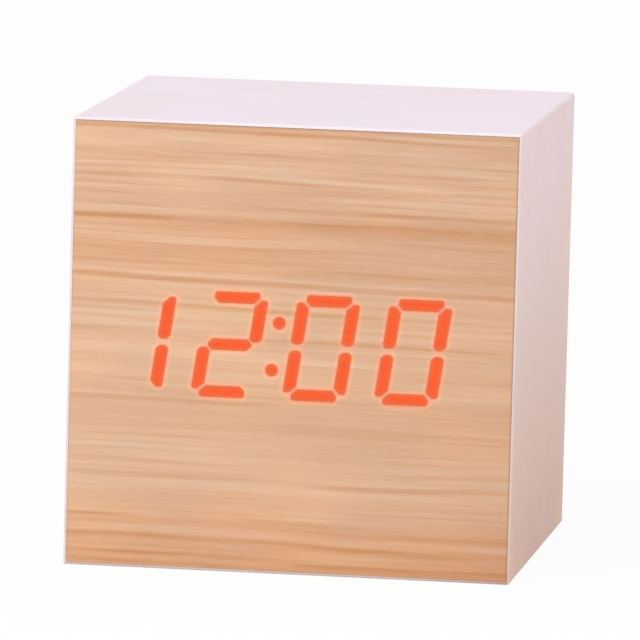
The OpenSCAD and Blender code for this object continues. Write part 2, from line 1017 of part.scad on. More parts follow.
module back_cover() {
    bore = button_d + 2 * button_fit;
    color(black_colour)
        difference() {
            union() {
                cover_plate();
                locating_rims();
                gussets();
                block(
                    [-bay_half - bay_wall, bay_y, bay_z0],
                    [bay_half + bay_wall, cover_in_y + bite, bay_z1]
                );
                for (side = [-1, 1])
                    rod_y(side * boss_x, key_z, boss_d, key_back_y, cover_in_y + bite);
            }
            bay_space();
            door_recess();
            tail_slits();
            place_cover_screws() {
                rod_y(0, 0, screw_d + 2 * hole_fit, cover_in_y - past, cover_out_y + past);
                rod_y(0, 0, head_d + 2 * hole_fit, cover_out_y - head_t - head_sink, cover_out_y + past);
            }
            for (side = [-1, 1])
                rod_y(side * boss_x, key_z, key_screw_d + 2 * screw_fit, key_back_y - past, cover_in_y);
            for (i = [0:keys - 1]) {
                rod_y(key_x(i), key_z, bore, cover_in_y - past, cover_out_y + past);
                translate([key_x(i), cover_out_y + bore_edge, key_z])
                    rotate([90, 0, 0])
                        cylinder(d1 = bore + 4 * bore_edge, d2 = bore, h = 2 * bore_edge);
            }
            upright(cover_in_y - past, cover_out_y + past)
                usb_shape(-hole_fit);
            upright(cover_out_y - usb_lead_in, cover_out_y + past)
                usb_shape(-hole_fit - usb_lead_in);
        }
}

module cover_screws() {
    color(steel_colour)
        place_cover_screws()
            translate([0, cover_out_y - head_t - head_sink, 0])
                screw(screw_d, screw_l, head_d, head_t);
}

module battery_door() {
    color(black_colour) {
        difference() {
            union() {
                chamfered_plate(
                    [-door_half, door_in_y, axis_z], [door_half, cover_out_y, door_top], 0, door_edge
                );
                for (k = [1:cells - 1])
                    translate([0, door_in_y, (cell_z(k - 1) + cell_z(k)) / 2])
                        block(
                            [door_rib_end - door_half, -door_rib_h, -door_rib_w / 2],
                            [door_half - door_rib_end, bite, door_rib_w / 2]
                        );
                translate([-door_half, axis_y, axis_z])
                    rotate([0, 90, 0])
                        cylinder(d = door_t, h = 2 * door_half);
                translate([-door_half - door_gap - pin_l, axis_y, axis_z])
                    rotate([0, 90, 0])
                        cylinder(d = pin_d, h = 2 * (door_half + door_gap + pin_l));
                for (i = [1:ridges])
                    translate([-slit_x + slit_w, cover_out_y, door_top - i * ridge_pitch])
                        rotate([0, 90, 0])
                            cylinder(d = ridge_d, h = 2 * (slit_x - slit_w));
            }
            for (side = [-1, 1])
                translate([side * slit_x, 0, door_top - slit_l])
                    block(
                        [-slit_w / 2, door_in_y - past, 0],
                        [slit_w / 2, cover_out_y + past, slit_l + past]
                    );
        }
    }
}

// Batteries

// A cell along +X from its flat end at x = 0, with a groove inside the crimped edge at each end
module cell() {
    r = cell_d / 2;
    lip = r - 2 * cell_crimp;
    shoulder = cell_l - cap_h;
    rotate([0, 90, 0])
        rotate_extrude()
            polygon([
                [0, 0], [lip - 2 * cell_groove, 0], [lip - cell_groove, cell_groove], [lip, cell_groove],
                [lip, 0], [r - cell_crimp, 0], [r, cell_crimp],
                [r, shoulder - cell_crimp], [r - cell_crimp, shoulder], [lip, shoulder],
                [lip, shoulder - cell_groove], [cap_r + cell_groove, shoulder - cell_groove],
                [cap_r, shoulder], [cap_r, cell_l - cap_edge], [cap_r - cap_edge, cell_l], [0, cell_l]
            ]);
}

// Cell k, 0 at the bottom, with its positive end to the left where k is even
module battery_cell(k) {
    way = plate_side(k);
    color([0.20, 0.35, 0.55])
        translate([way * (plate_x - cell_l), cell_y, cell_z(k)])
            mirror([way < 0 ? 1 : 0, 0, 0])
                cell();
}

module contact_plates() {
    color(steel_colour)
        for (i = [0:cells]) {
            low = max(i - 1, 0);
            high = min(i, cells - 1);
            x = plate_side(i) * (plate_x + contact_t / 2);
            translate([x, 0, 0]) {
                block(
                    [-contact_t / 2, cell_y - rib_drop + plate_fit, cell_z(low) - plate_w / 2],
                    [contact_t / 2, cell_y + plate_w / 2, cell_z(high) + plate_w / 2]
                );
                if (i == 0 || i == cells)
                    block(
                        [-contact_t / 2, tail_y, cell_z(high) - tail_w / 2],
                        [contact_t / 2, cell_y, cell_z(high) + tail_w / 2]
                    );
            }
        }
}

// Springs: one unbroken wire that stands on the plate and narrows towards the cell

wide_r = 3.2;
narrow_r = 1.6;
rings_per_turn = 8;
wire_sides = 6;
coil_steps = turns * rings_per_turn;

// Middle of the wire at step s of the coil
function coil_point(s) =
    let (
        part = s / coil_steps,
        r = wide_r + (narrow_r - wide_r) * part,
        angle = 360 * turns * part
    )
    [wire_d + (spring_l - 2 * wire_d) * part, r * cos(angle), r * sin(angle)];

coil = [for (s = [0:coil_steps]) coil_point(s)];
spring_path = concat(
    [[0, coil[0].y, coil[0].z]],
    coil,
    [[spring_l, coil[coil_steps].y, coil[coil_steps].z]]
);

function along(path, i) = unit(path[min(i + 1, len(path) - 1)] - path[max(i - 1, 0)]);

// Ring of the wire round point i, drawn about the direction away from the coil's middle
function wire_ring(path, i) =
    let (
        ahead = i == 0 || i == len(path) - 1 ? [1, 0, 0] : along(path, i),
        away = unit([0, path[i].y, path[i].z]),
        across = unit(cross(ahead, away)),
        out = cross(across, ahead)
    )
    [for (k = [0:wire_sides - 1])
        path[i] + wire_d / 2 * (out * cos(360 * k / wire_sides) + across * sin(360 * k / wire_sides))];

// Least distance between two parts of the wire that are half a turn or more apart
spring_gap = min([
    for (i = [0:coil_steps])
        for (j = [i + rings_per_turn / 2:1:coil_steps])
            norm(coil[i] - coil[j])
]) - wire_d;
echo(spring_gap = spring_gap);

module spring() {
    rings = len(spring_path);
    n = wire_sides;
    polyhedron(
        points = [for (i = [0:rings - 1]) each wire_ring(spring_path, i)],
        faces = concat(
            [for (k = [1:n - 2]) [0, k, k + 1]],
            [for (i = [0:rings - 2]) for (k = [0:n - 1])
                each [
                    [i * n + k, (i + 1) * n + k, i * n + (k + 1) % n],
                    [(i + 1) * n + k, (i + 1) * n + (k + 1) % n, i * n + (k + 1) % n]
                ]],
            [for (k = [1:n - 2]) [(rings - 1) * n, (rings - 1) * n + k + 1, (rings - 1) * n + k]]
        )
    );
}

module battery_springs() {
    color(steel_colour)
        for (k = [0:cells - 1]) {
            side = -plate_side(k);
            translate([side * plate_x, cell_y, cell_z(k)])
                mirror([side > 0 ? 1 : 0, 0, 0])
                    spring();
        }
}

// Leads

// A wire along straight runs that turn square, with each corner bent to radius r
module bent_wire(points, d, r) {
    last = len(points) - 1;
    for (i = [0:last - 1]) {
        way = unit(points[i + 1] - points[i]);
        from = points[i] + (i == 0 ? 0 : r) * way;
        to = points[i + 1] - (i == last - 1 ? 0 : r) * way;
        turned(from, way)
            cylinder(d = d, h = norm(to - from));
    }
    for (i = [1:last - 1]) {
        back = unit(points[i - 1] - points[i]);
        ahead = unit(points[i + 1] - points[i]);
        up = cross(-back, -ahead);
        middle = points[i] + r * (back + ahead);
        multmatrix([
            [-ahead.x, -back.x, up.x, middle.x],
            [-ahead.y, -back.y, up.y, middle.y],
            [-ahead.z, -back.z, up.z, middle.z],
            [0, 0, 0, 1]
        ])
            rotate_extrude(angle = 90)
                translate([r, 0])
                    circle(d = d);
    }
}

// Turns +Z to a direction along an axis and moves the origin to a point
module turned(point, way) {
    translate(point)
        rotate([way.y != 0 ? -90 * way.y : way.z < 0 ? 180 : 0, 90 * way.x, 0])
            children();
}

lead_bend = 2.5;
lead_y = tail_y - 4;
lead_x = 14;
lead_z = key_z + 2;

// The wire from contact plate i to the key board
module battery_lead(i) {
    side = plate_side(i);
    x = side * (plate_x + contact_t / 2);
    z = cell_z(min(i, cells - 1));
    bent_wire(
        [
            [x, tail_y, z], [x, lead_y, z], [side * lead_x, lead_y, z],
            [side * lead_x, lead_y, lead_z], [side * lead_x, key_front_y, lead_z]
        ],
        lead_d, lead_bend
    );
}

module positive_lead() {
    color([0.75, 0.10, 0.10])
        battery_lead(0);
}

module negative_lead() {
    color([0.08, 0.08, 0.08])
        battery_lead(cells);
}

// Key row

module key_board() {
    low = bay_z1 + bay_clear;
    high = in_z1 - bay_clear;
    color(board_colour)
        difference() {
            upright(key_front_y, key_back_y)
                translate([0, (low + high) / 2])
                    rounded_rectangle(2 * key_half, high - low, board_corner);
            for (side = [-1, 1])
                rod_y(
                    side * boss_x, key_z, key_screw_d + 2 * hole_fit,
                    key_front_y - past, key_back_y + past
                );
        }
}

module key_board_screws() {
    color(steel_colour)
        for (side = [-1, 1])
            translate([side * boss_x, key_front_y, key_z])
                rotate([0, 0, 180])
                    screw(key_screw_d, key_screw_l, key_head_d, key_head_t);
}

module plunger_well() {
    rod_y(
        0, 0, plunger_d + 2 * plunger_fit,
        switch_y - plunger_in - button_travel - plunger_fit, switch_y + past
    );
}

module key_switches() {
    half = switch_w / 2;
    color(grey_colour)
        for (i = [0:keys - 1])
            translate([key_x(i), 0, key_z])
                difference() {
                    block([-half, key_back_y, -half], [half, switch_y - switch_plate_t, half]);
                    plunger_well();
                }
}

module switch_covers() {
    half = switch_w / 2 - switch_plate_rim;
    color(steel_colour)
        for (i = [0:keys - 1])
            translate([key_x(i), 0, key_z])
                difference() {
                    block([-half, switch_y - switch_plate_t, -half], [half, switch_y, half]);
                    plunger_well();
                }
}

module switch_legs() {
    leg_z = switch_w / 2 - switch_leg_w;
    color(steel_colour)
        for (i = [0:keys - 1], side = [0, 1], z = [-1, 1])
            translate([key_x(i), key_back_y, key_z + z * leg_z - switch_leg_w / 2])
                mirror([side, 0, 0])
                    translate([switch_w / 2, 0, 0])
                        linear_extrude(switch_leg_w)
                            polygon(bent_lead(switch_leg_rise, switch_leg_reach, switch_leg_t));
}

module button(i) {
    r = button_d / 2;
    h = cover_out_y + button_rise - flange_y;
    color(black_colour)
        translate([key_x(i), flange_y, key_z])
            turned_y([
                [0, 0], [r + flange_rim, 0], [r + flange_rim, flange_t], [r, flange_t],
                [r, h - button_edge], [r - button_edge, h], [r - button_rim, h], [0, h - button_dish]
            ]);
}

module plunger(i) {
    color([0.15, 0.15, 0.16])
        rod_y(key_x(i), key_z, plunger_d, switch_y - plunger_in, flange_y);
}

module usb_shell() {
    color(steel_colour)
        upright(key_back_y, usb_y)
            difference() {
                usb_shape(0);
                usb_shape(usb_wall);
            }
}

module usb_tongue() {
    color(black_colour) {
        upright(key_back_y, key_back_y + usb_floor)
            usb_shape(usb_wall);
        translate([usb_x, 0, key_z])
            block(
                [-tongue_w / 2, key_back_y + usb_floor, -tongue_t / 2],
                [tongue_w / 2, tongue_y, tongue_t / 2]
            );
    }
}

module usb_contacts() {
    color([0.85, 0.68, 0.30])
        for (i = [0:strips - 1])
            translate([
                usb_x + (i - (strips - 1) / 2) * strip_pitch, tongue_y - strip_sink, key_z - tongue_t / 2
            ])
                block([-strip_w / 2, -strip_l, -strip_t], [strip_w / 2, 0, 0]);
}

panel(2);  // top_panel
panel(0);  // bottom_panel
panel(3);  // left_panel
panel(1);  // right_panel
wrap_film();
front_board();
front_veneer();
lit_segments();
lit_colon();
corner_posts();
board_rails();
display_frame();
display_diffusers();
display_base();
led_chips();
display_pins();
main_board();
main_board_screws();
controller_chip();
controller_leads();
crystal();
buzzer();
sound_sensor();
temperature_sensor();
capacitors();
resistors();
ribbon_cable();
ribbon_headers();
back_cover();
cover_screws();
battery_door();
battery_cell(0);  // battery_cell_1
battery_cell(1);  // battery_cell_2
battery_cell(2);  // battery_cell_3
contact_plates();
battery_springs();
positive_lead();
negative_lead();
key_board();
key_board_screws();
key_switches();
switch_covers();
switch_legs();
button(0);  // set_button
button(1);  // up_button
button(2);  // down_button
plunger(0);  // set_plunger
plunger(1);  // up_plunger
plunger(2);  // down_plunger
usb_shell();
usb_tongue();
usb_contacts();
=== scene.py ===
"""Cube alarm clock: the looks of its bamboo front, lit digits, wrapped case, black back and inside."""

import math

import bmesh
import bpy
import numpy
from bpy.props import FloatProperty, FloatVectorProperty, PointerProperty
from mathutils import Matrix, Vector


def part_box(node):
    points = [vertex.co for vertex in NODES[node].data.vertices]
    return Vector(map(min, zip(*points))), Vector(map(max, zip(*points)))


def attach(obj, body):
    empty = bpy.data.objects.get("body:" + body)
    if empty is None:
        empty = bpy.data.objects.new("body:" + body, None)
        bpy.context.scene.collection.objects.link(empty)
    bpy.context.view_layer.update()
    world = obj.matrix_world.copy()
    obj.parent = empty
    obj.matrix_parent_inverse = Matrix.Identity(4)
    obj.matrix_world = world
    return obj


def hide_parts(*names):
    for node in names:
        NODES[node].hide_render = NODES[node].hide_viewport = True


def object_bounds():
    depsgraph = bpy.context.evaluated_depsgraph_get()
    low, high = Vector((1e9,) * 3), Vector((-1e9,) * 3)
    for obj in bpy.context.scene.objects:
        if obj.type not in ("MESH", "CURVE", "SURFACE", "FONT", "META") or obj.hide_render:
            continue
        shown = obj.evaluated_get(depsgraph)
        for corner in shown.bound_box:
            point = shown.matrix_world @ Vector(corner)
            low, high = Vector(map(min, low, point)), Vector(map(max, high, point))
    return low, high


bl_info = {
    "name": "Cube Alarm Clock",
    "version": (1, 0, 0),
    "blender": (4, 5, 0),
    "location": "3D View > Sidebar > Clock",
    "description": "Builds a cube alarm clock whose digits shine through a bamboo front",
    "category": "Object",
}

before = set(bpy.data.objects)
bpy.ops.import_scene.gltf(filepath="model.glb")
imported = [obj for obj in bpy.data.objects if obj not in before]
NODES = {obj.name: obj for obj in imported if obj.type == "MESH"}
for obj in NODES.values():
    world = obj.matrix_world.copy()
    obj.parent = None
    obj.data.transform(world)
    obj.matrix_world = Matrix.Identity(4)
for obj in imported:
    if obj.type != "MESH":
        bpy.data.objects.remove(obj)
CAD_BOX = [list(corner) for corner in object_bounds()]
MM = 0.001

# The case is a cube on the floor, so one length is its width, depth and height
CASE_SIZE = CAD_BOX[1][2]
HALF_CASE = CASE_SIZE / 2


# Sizes and colours that a user would change


def length(name, description, default):
    """A property for a length in metres."""
    return FloatProperty(name=name, description=description, default=default, unit="LENGTH", precision=5)


def angle(name, description, default):
    """A property for an angle, given in degrees."""
    return FloatProperty(
        name=name, description=description, default=math.radians(default), unit="ROTATION", precision=4
    )


def colour(name, description, default):
    """A property for a linear colour."""
    return FloatVectorProperty(
        name=name, description=description, default=default, subtype="COLOR", size=3, min=0.0, max=1.0
    )


class ClockSizes(bpy.types.PropertyGroup):
    """Sizes of the pieces and patterns that the scene adds."""

    veneer_cell: length("Veneer Cell", "Side of a face of the veneer away from the digits", 1.0 * MM)
    veneer_reach: length("Veneer Reach", "Growth of the veneer into the gap at the film's rim", 0.06 * MM)
    glow_spread: length("Glow Spread", "Distance over which the light round a stroke fades", 0.85 * MM)
    # The next width is that of the painted light that reddens the wood beside a stroke
    painted_stroke_glow_spread: length("Blush Spread", "Width of the reddened wood beside a stroke", 0.30 * MM)
    glow_zone: length("Glow Zone", "Width of the fine faces round the digits", 2.0 * MM)
    stroke_rim: length("Stroke Rim", "Width of the softer edge of a lit stroke", 0.48 * MM)
    stroke_cell: length("Stroke Cell", "Side of a face of a lit stroke", 0.3 * MM)
    grain_slope: angle("Grain Slope", "Fall of the bamboo's grain to the right", 0.8)
    mark_size: length("Mark Size", "Radius of a raised mark by a button", 0.75 * MM)
    mark_height: length("Mark Height", "Height of a raised mark above the cover", 0.15 * MM)
    mark_rise: length("Mark Rise", "Height of a mark above the middle of its button", 3.9 * MM)
    view_azimuth: angle("View Azimuth", "Camera's turn to the right of the front", 7.993)
    view_elevation: angle("View Elevation", "Camera's height above the horizon", 7.021)
    view_roll: angle("View Roll", "Camera's turn about its own axis", 1.534)
    view_distance: length("View Distance", "Camera's distance from the middle of the case", 1.27936)
    view_right: length("View Right", "Camera's shift to the right", -0.469 * MM)
    view_up: length("View Up", "Camera's shift upwards", 0.567 * MM)
    view_lens: FloatProperty(
        name="View Lens", description="Focal length in millimetres", default=513.45, unit="CAMERA"
    )


class ClockColours(bpy.types.PropertyGroup):
    """Colours of the finishes and the stage, as linear values."""

    film: colour("Film", "Wrapped top and sides", (0.85, 0.75, 0.815))
    film_warm: colour("Film Warm", "Warmer clouds in the film", (0.837, 0.73, 0.77))
    # The next colour is painted shade: the film darker and warmer towards the base
    film_painted_shade: colour("Film Low", "Film yellowed towards the base", (0.80, 0.64, 0.58))
    # The next colour tints the faint streaks, and lightens the film's edges as a painted highlight
    film_streak_and_edge_highlight: colour("Film Worn", "Rubbed edges and faint streaks of the film", (0.93, 0.865, 0.845))
    bamboo_pale: colour("Bamboo Pale", "Pale bands of the veneer", (0.845, 0.578, 0.366))
    bamboo_cool: colour("Bamboo Cool", "Cooler clouds in the pale bands", (0.765, 0.55, 0.383))
    bamboo_mid: colour("Bamboo Middle", "Ordinary tone of the veneer", (0.745, 0.437, 0.250))
    bamboo_mid_cool: colour("Bamboo Middle Cool", "Cooler clouds in the ordinary tone", (0.675, 0.417, 0.253))
    bamboo_dark: colour("Bamboo Dark", "Dark streaks of the veneer", (0.60, 0.30, 0.14))
    bamboo_edge: colour("Bamboo Edge", "Shaded edge of the sheet", (0.40, 0.24, 0.15))
    lit_core: colour("Lit Core", "Light in the middle of a stroke", (1.0, 0.105, 0.013))
    lit_wood: colour("Lit Wood", "Wood in the middle of a stroke", (0.14, 0.016, 0.006))
    lit_rim: colour("Lit Rim", "Wood at the edge of a stroke", (0.30, 0.10, 0.045))
    glow: colour("Glow", "Light that spreads in the veneer round a stroke", (1.0, 0.09, 0.02))
    # The next colour is painted light: the red of a stroke's light on the wood beside it
    painted_stroke_glow: colour("Blush", "Tint of the wood beside a stroke", (1.0, 0.62, 0.58))
    fibreboard: colour("Fibreboard", "Pressed fibre of the panels", (0.40, 0.24, 0.12))
    pine: colour("Pine", "Posts and rails", (0.60, 0.37, 0.17))
    cover: colour("Cover", "Black plastic of the cover and the door", (0.014, 0.014, 0.015))
    button: colour("Button", "Black plastic of the buttons", (0.020, 0.020, 0.021))
    mark: colour("Mark", "Paint on the raised marks", (0.62, 0.62, 0.60))
    steel: colour("Steel", "Screws", (0.46, 0.46, 0.47))
    nickel: colour("Nickel", "Contacts and springs", (0.66, 0.64, 0.59))
    tin: colour("Tin", "Leads, pins and the socket's shell", (0.62, 0.62, 0.62))
    gilt: colour("Gilt", "Contacts in the socket", (0.69, 0.42, 0.07))
    can: colour("Can", "Metal cans on the board", (0.60, 0.60, 0.60))
    board: colour("Board", "Lacquer of the circuit boards", (0.010, 0.105, 0.040))
    epoxy: colour("Epoxy", "Moulded black of the small parts", (0.016, 0.016, 0.018))
    white: colour("White", "White plastic of the display and the headers", (0.80, 0.80, 0.77))
    led: colour("Chip Yellow", "Yellow filling of the light chips", (0.80, 0.60, 0.16))
    jacket: colour("Jacket", "Printed jacket of a cell", (0.03, 0.10, 0.26))
    jacket_band: colour("Jacket Band", "Band at a cell's positive end", (0.62, 0.36, 0.10))
    lead_red: colour("Lead Red", "Positive lead", (0.52, 0.012, 0.010))
    lead_black: colour("Lead Black", "Negative lead", (0.012, 0.012, 0.012))
    ribbon: colour("Ribbon", "Wires of the ribbon", (0.28, 0.29, 0.30))
    floor: colour("Floor", "Floor as it lights the clock", (0.78, 0.75, 0.74))
    floor_spot: colour("Floor Spots", "Darker spots in the floor's light", (0.76, 0.73, 0.72))
    shaded: colour("Shaded Floor", "Matt share of the floor, which shows the shadow", (0.93, 0.92, 0.92))
    shaded_spot: colour("Shaded Spots", "Darker spots in the matt share", (0.91, 0.90, 0.90))
    card: colour("Card", "Brown card on the floor at the right", (0.34, 0.08, 0.02))
    sky_low: colour("Low Sky", "Light from the horizon", (0.55, 0.52, 0.50))
    sky_high: colour("High Sky", "Light from above", (0.67, 0.665, 0.76))
    sky_right: colour("Right Sky", "Tint of the light from the right", (0.97, 0.965, 0.945))


# Finishes


def mm(*parts):
    """Lengths in millimetres as a tuple in metres."""
    return tuple(part * MM for part in parts)


def shade(tint, share, lift=0.0):
    """A lighter or darker version of a colour."""
    return [min(1.0, part * share + lift) for part in tint]


class Finish:
    """A node material in the making, with short calls for the nodes that the clock's finishes share."""

    def __init__(self, name):
        self.material = bpy.data.materials.new(name)
        self.material.use_nodes = True
        self.tree = self.material.node_tree
        self.shader = self.tree.nodes["Principled BSDF"]

    def node(self, kind, **settings):
        """A new node with its settings."""
        made = self.tree.nodes.new(kind)
        for name, value in settings.items():
            setattr(made, name, value)
        return made

    def feed(self, socket, value):
        """Links an output to a socket, or sets the socket to a plain value."""
        if isinstance(value, bpy.types.NodeSocket):
            self.tree.links.new(value, socket)
        elif socket.type == "RGBA":
            socket.default_value = (*value, 1.0)
        else:
            socket.default_value = value

    def set(self, **values):
        """Feeds the shader's sockets, named with underscores for spaces."""
        for name, value in values.items():
            self.feed(self.shader.inputs[name.replace("_", " ")], value)

    def place(self, size, turn=(0.0, 0.0, 0.0), shift=(0.0, 0.0, 0.0)):
        """Object coordinates counted in features of the given size, after a turn."""
        size = (size, size, size) if isinstance(size, float) else size
        coordinates = self.node("ShaderNodeTexCoord")
        mapping = self.node("ShaderNodeMapping", vector_type="TEXTURE")
        self.feed(mapping.inputs["Vector"], coordinates.outputs["Object"])
        self.feed(mapping.inputs["Location"], shift)
        self.feed(mapping.inputs["Rotation"], turn)
        self.feed(mapping.inputs["Scale"], size)
        return mapping.outputs["Vector"]

    def noise(self, size, detail=2.0, rough=0.5, turn=(0.0, 0.0, 0.0), shift=(0.0, 0.0, 0.0), warp=0.0):
        """Cloudy values from 0 to 1 with features of the given size."""
        made = self.node("ShaderNodeTexNoise")
        self.feed(made.inputs["Vector"], self.place(size, turn, shift))
        self.feed(made.inputs["Scale"], 1.0)
        self.feed(made.inputs["Detail"], detail)
        self.feed(made.inputs["Roughness"], rough)
        self.feed(made.inputs["Distortion"], warp)
        return made.outputs["Fac"]

    def layers(self, height, count, detail=1.0, rough=0.4):
        """Uneven values from 0 to 1 that change with a height only, with so many layers to its unit."""
        made = self.node("ShaderNodeTexNoise", noise_dimensions="1D")
        self.feed(made.inputs["W"], height)
        self.feed(made.inputs["Scale"], count)
        self.feed(made.inputs["Detail"], detail)
        self.feed(made.inputs["Roughness"], rough)
        return made.outputs["Fac"]

    def math(self, operation, *values, clamp=False):
        """The result of a sum on one to three values."""
        made = self.node("ShaderNodeMath", operation=operation, use_clamp=clamp)
        for socket, value in zip(made.inputs, values):
            self.feed(socket, value)
        return made.outputs["Value"]

    def swing(self, total, pattern, share):
        """A total moved up and down by a share of a pattern's swing about its middle."""
        return self.math("MULTIPLY_ADD", self.math("SUBTRACT", pattern, 0.5), share, total)

    def span(self, value, low, high, to_low=0.0, to_high=1.0, way="SMOOTHSTEP"):
        """A value moved from one range to another and held at the ends."""
        made = self.node("ShaderNodeMapRange", interpolation_type=way)
        self.feed(made.inputs["Value"], value)
        self.feed(made.inputs["From Min"], low)
        self.feed(made.inputs["From Max"], high)
        self.feed(made.inputs["To Min"], to_low)
        self.feed(made.inputs["To Max"], to_high)
        return made.outputs["Result"]

    def blend(self, share, first, second, mode="MIX"):
        """Two colours mixed by a share."""
        made = self.node("ShaderNodeMix", data_type="RGBA", blend_type=mode)
        self.feed(made.inputs[0], share)
        self.feed(made.inputs[6], first)
        self.feed(made.inputs[7], second)
        return made.outputs[2]

    def ramp(self, value, stops):
        """A value read off stops of place and height."""
        made = self.node("ShaderNodeValToRGB")
        made.color_ramp.interpolation = "EASE"
        while len(made.color_ramp.elements) < len(stops):
            made.color_ramp.elements.new(1.0)
        for element, (place, height) in zip(made.color_ramp.elements, stops):
            element.position = place
            element.color = (height, height, height, 1.0)
        self.feed(made.inputs["Fac"], value)
        return made.outputs["Color"]

    def axis(self, vector, name):
        """One axis of a vector."""
        made = self.node("ShaderNodeSeparateXYZ")
        self.feed(made.inputs["Vector"], vector)
        return made.outputs[name]

    def attribute(self, name):
        """A number that the mesh carries at its points."""
        return self.node("ShaderNodeAttribute", attribute_name=name).outputs["Fac"]

    def bump(self, height, strength, depth):
        """Raises the surface by a height pattern."""
        made = self.node("ShaderNodeBump")
        self.feed(made.inputs["Height"], height)
        self.feed(made.inputs["Strength"], strength)
        self.feed(made.inputs["Distance"], depth)
        self.feed(self.shader.inputs["Normal"], made.outputs["Normal"])


# How dark the bamboo's bands are, by height from the base to the top
BAMBOO_BANDS = (
    (0.00, 0.68), (0.03, 0.84), (0.05, 0.50), (0.065, 0.82), (0.08, 0.48), (0.10, 0.74), (0.13, 0.38),
    (0.22, 0.26), (0.29, 0.30), (0.32, 0.44), (0.36, 0.38), (0.42, 0.28), (0.56, 0.26), (0.65, 0.42),
    (0.70, 0.52), (0.74, 0.46), (0.78, 0.76), (0.81, 0.40), (0.86, 0.26), (0.91, 0.32), (1.00, 0.38),
)
# How strong the bamboo's fine grain is, by height from the base to the top
BAMBOO_GRAIN = (
    (0.00, 0.88), (0.12, 0.88), (0.16, 0.55), (0.40, 0.55), (0.56, 0.66), (0.64, 0.80), (0.78, 0.80),
    (0.84, 1.00), (1.00, 1.00),
)
# How far the grain wavers up and down, and the broad and thin layers in the height of the case
BAMBOO_WAVER = 1.8 * MM
BROAD_LAYERS = 30.0
THIN_LAYERS = 66.0

# Light given off by a stroke's middle and edge, and by the wood beside it
CORE_STRENGTH = 0.82
RIM_STRENGTH = 0.50
GLOW_STRENGTH = 0.21
# Share of a stroke's rim that keeps the rim's full tint
RIM_HOLD = 0.4

# Places along a cell, in millimetres from its negative end
CELL_MINUS_END = 0.45
CELL_LINE = 30.2
CELL_LINE_HALF = 0.25
CELL_BAND = 31.0
CELL_BAND_BLUR = 0.1
CELL_PLUS_END = 43.05


def bamboo_height(finish, turn):
    """Height on the front along the sloping grain, from 0 at the base to 1, with a slow waver."""
    level = finish.axis(finish.place(1.0, turn), "Z")
    waver = finish.noise(mm(36.0, 20.0, 8.0), detail=1.0, turn=turn)
    return finish.math("DIVIDE", finish.swing(level, waver, BAMBOO_WAVER), CASE_SIZE)


def bamboo_finish(colours, sizes, half_sheet):
    """Sliced bamboo: level bands of pale and orange wood, thin dark lines that come and go, short flecks.

    The wood glows towards the strokes, and its colour is reddened there as painted light, by the distance
    that the sheet carries as "gap".
    """
    finish = Finish("bamboo")
    turn = (0.0, sizes.grain_slope, 0.0)
    height = bamboo_height(finish, turn)
    strips = finish.noise(mm(60.0, 20.0, 2.4), rough=0.6, turn=turn)
    lines = finish.noise(mm(24.0, 20.0, 0.8), rough=0.45, turn=turn, shift=mm(13.0, 0.0, 2.0))
    patches = finish.noise(mm(22.0, 20.0, 1.6), detail=1.0, turn=turn, shift=mm(4.0, 0.0, 1.0))
    flecks = finish.noise(mm(2.6, 10.0, 0.18), turn=turn)
    clouds = finish.noise(mm(20.0, 20.0, 8.0), detail=1.0, turn=turn, shift=mm(7.0, 0.0, 5.0))
    thin = finish.span(finish.layers(height, THIN_LAYERS, detail=0.5), 0.44, 0.74, -0.16, 0.50)
    grain = finish.math("MULTIPLY", thin, finish.span(patches, 0.38, 0.64))
    for pattern, share in ((lines, 0.98), (flecks, 0.48), (finish.layers(height, BROAD_LAYERS), 0.46)):
        grain = finish.swing(grain, pattern, share)
    place = finish.place(half_sheet, shift=(0.0, 0.0, HALF_CASE))
    across = finish.axis(place, "X")
    tone = finish.swing(finish.ramp(height, BAMBOO_BANDS), strips, 0.45)
    tone = finish.math("MULTIPLY_ADD", grain, finish.ramp(height, BAMBOO_GRAIN), tone)
    # Painted shade: the veneer darker towards the right, for light falling from the left; the next line also
    # makes it cooler towards the right
    tone = finish.math("MULTIPLY_ADD", across, 0.09, tone)
    cool = finish.math("MULTIPLY_ADD", across, 0.35, finish.span(clouds, 0.30, 0.70), clamp=True)
    pale = finish.blend(cool, colours.bamboo_pale, colours.bamboo_cool)
    middle = finish.blend(cool, colours.bamboo_mid, colours.bamboo_mid_cool)
    wood = finish.blend(finish.span(tone, -0.05, 0.5, way="LINEAR"), pale, middle)
    wood = finish.blend(finish.span(tone, 0.5, 1.15, way="LINEAR"), wood, colours.bamboo_dark)
    outward = finish.math("MAXIMUM", across, finish.axis(place, "Z"))
    wood = finish.blend(finish.span(outward, 0.990, 1.0, 0.0, 0.50), wood, colours.bamboo_edge)
    gap = finish.attribute("gap")
    # Painted light: the wood beside a stroke reddened, for the stroke's light shining through it
    painted_stroke_glow = finish.span(gap, 0.0, sizes.painted_stroke_glow_spread, 1.0, 0.0)
    finish.set(
        Base_Color=finish.blend(painted_stroke_glow, wood, colours.painted_stroke_glow, "MULTIPLY"),
        Roughness=finish.span(flecks, 0.25, 0.75, 0.42, 0.58),
        Specular_IOR_Level=0.3,
        Emission_Color=colours.glow,
        Emission_Strength=finish.span(gap, 0.0, sizes.glow_spread, GLOW_STRENGTH, 0.0),
    )
    finish.bump(finish.math("MULTIPLY_ADD", lines, 0.6, flecks), strength=0.2, depth=0.03 * MM)
    return finish.material


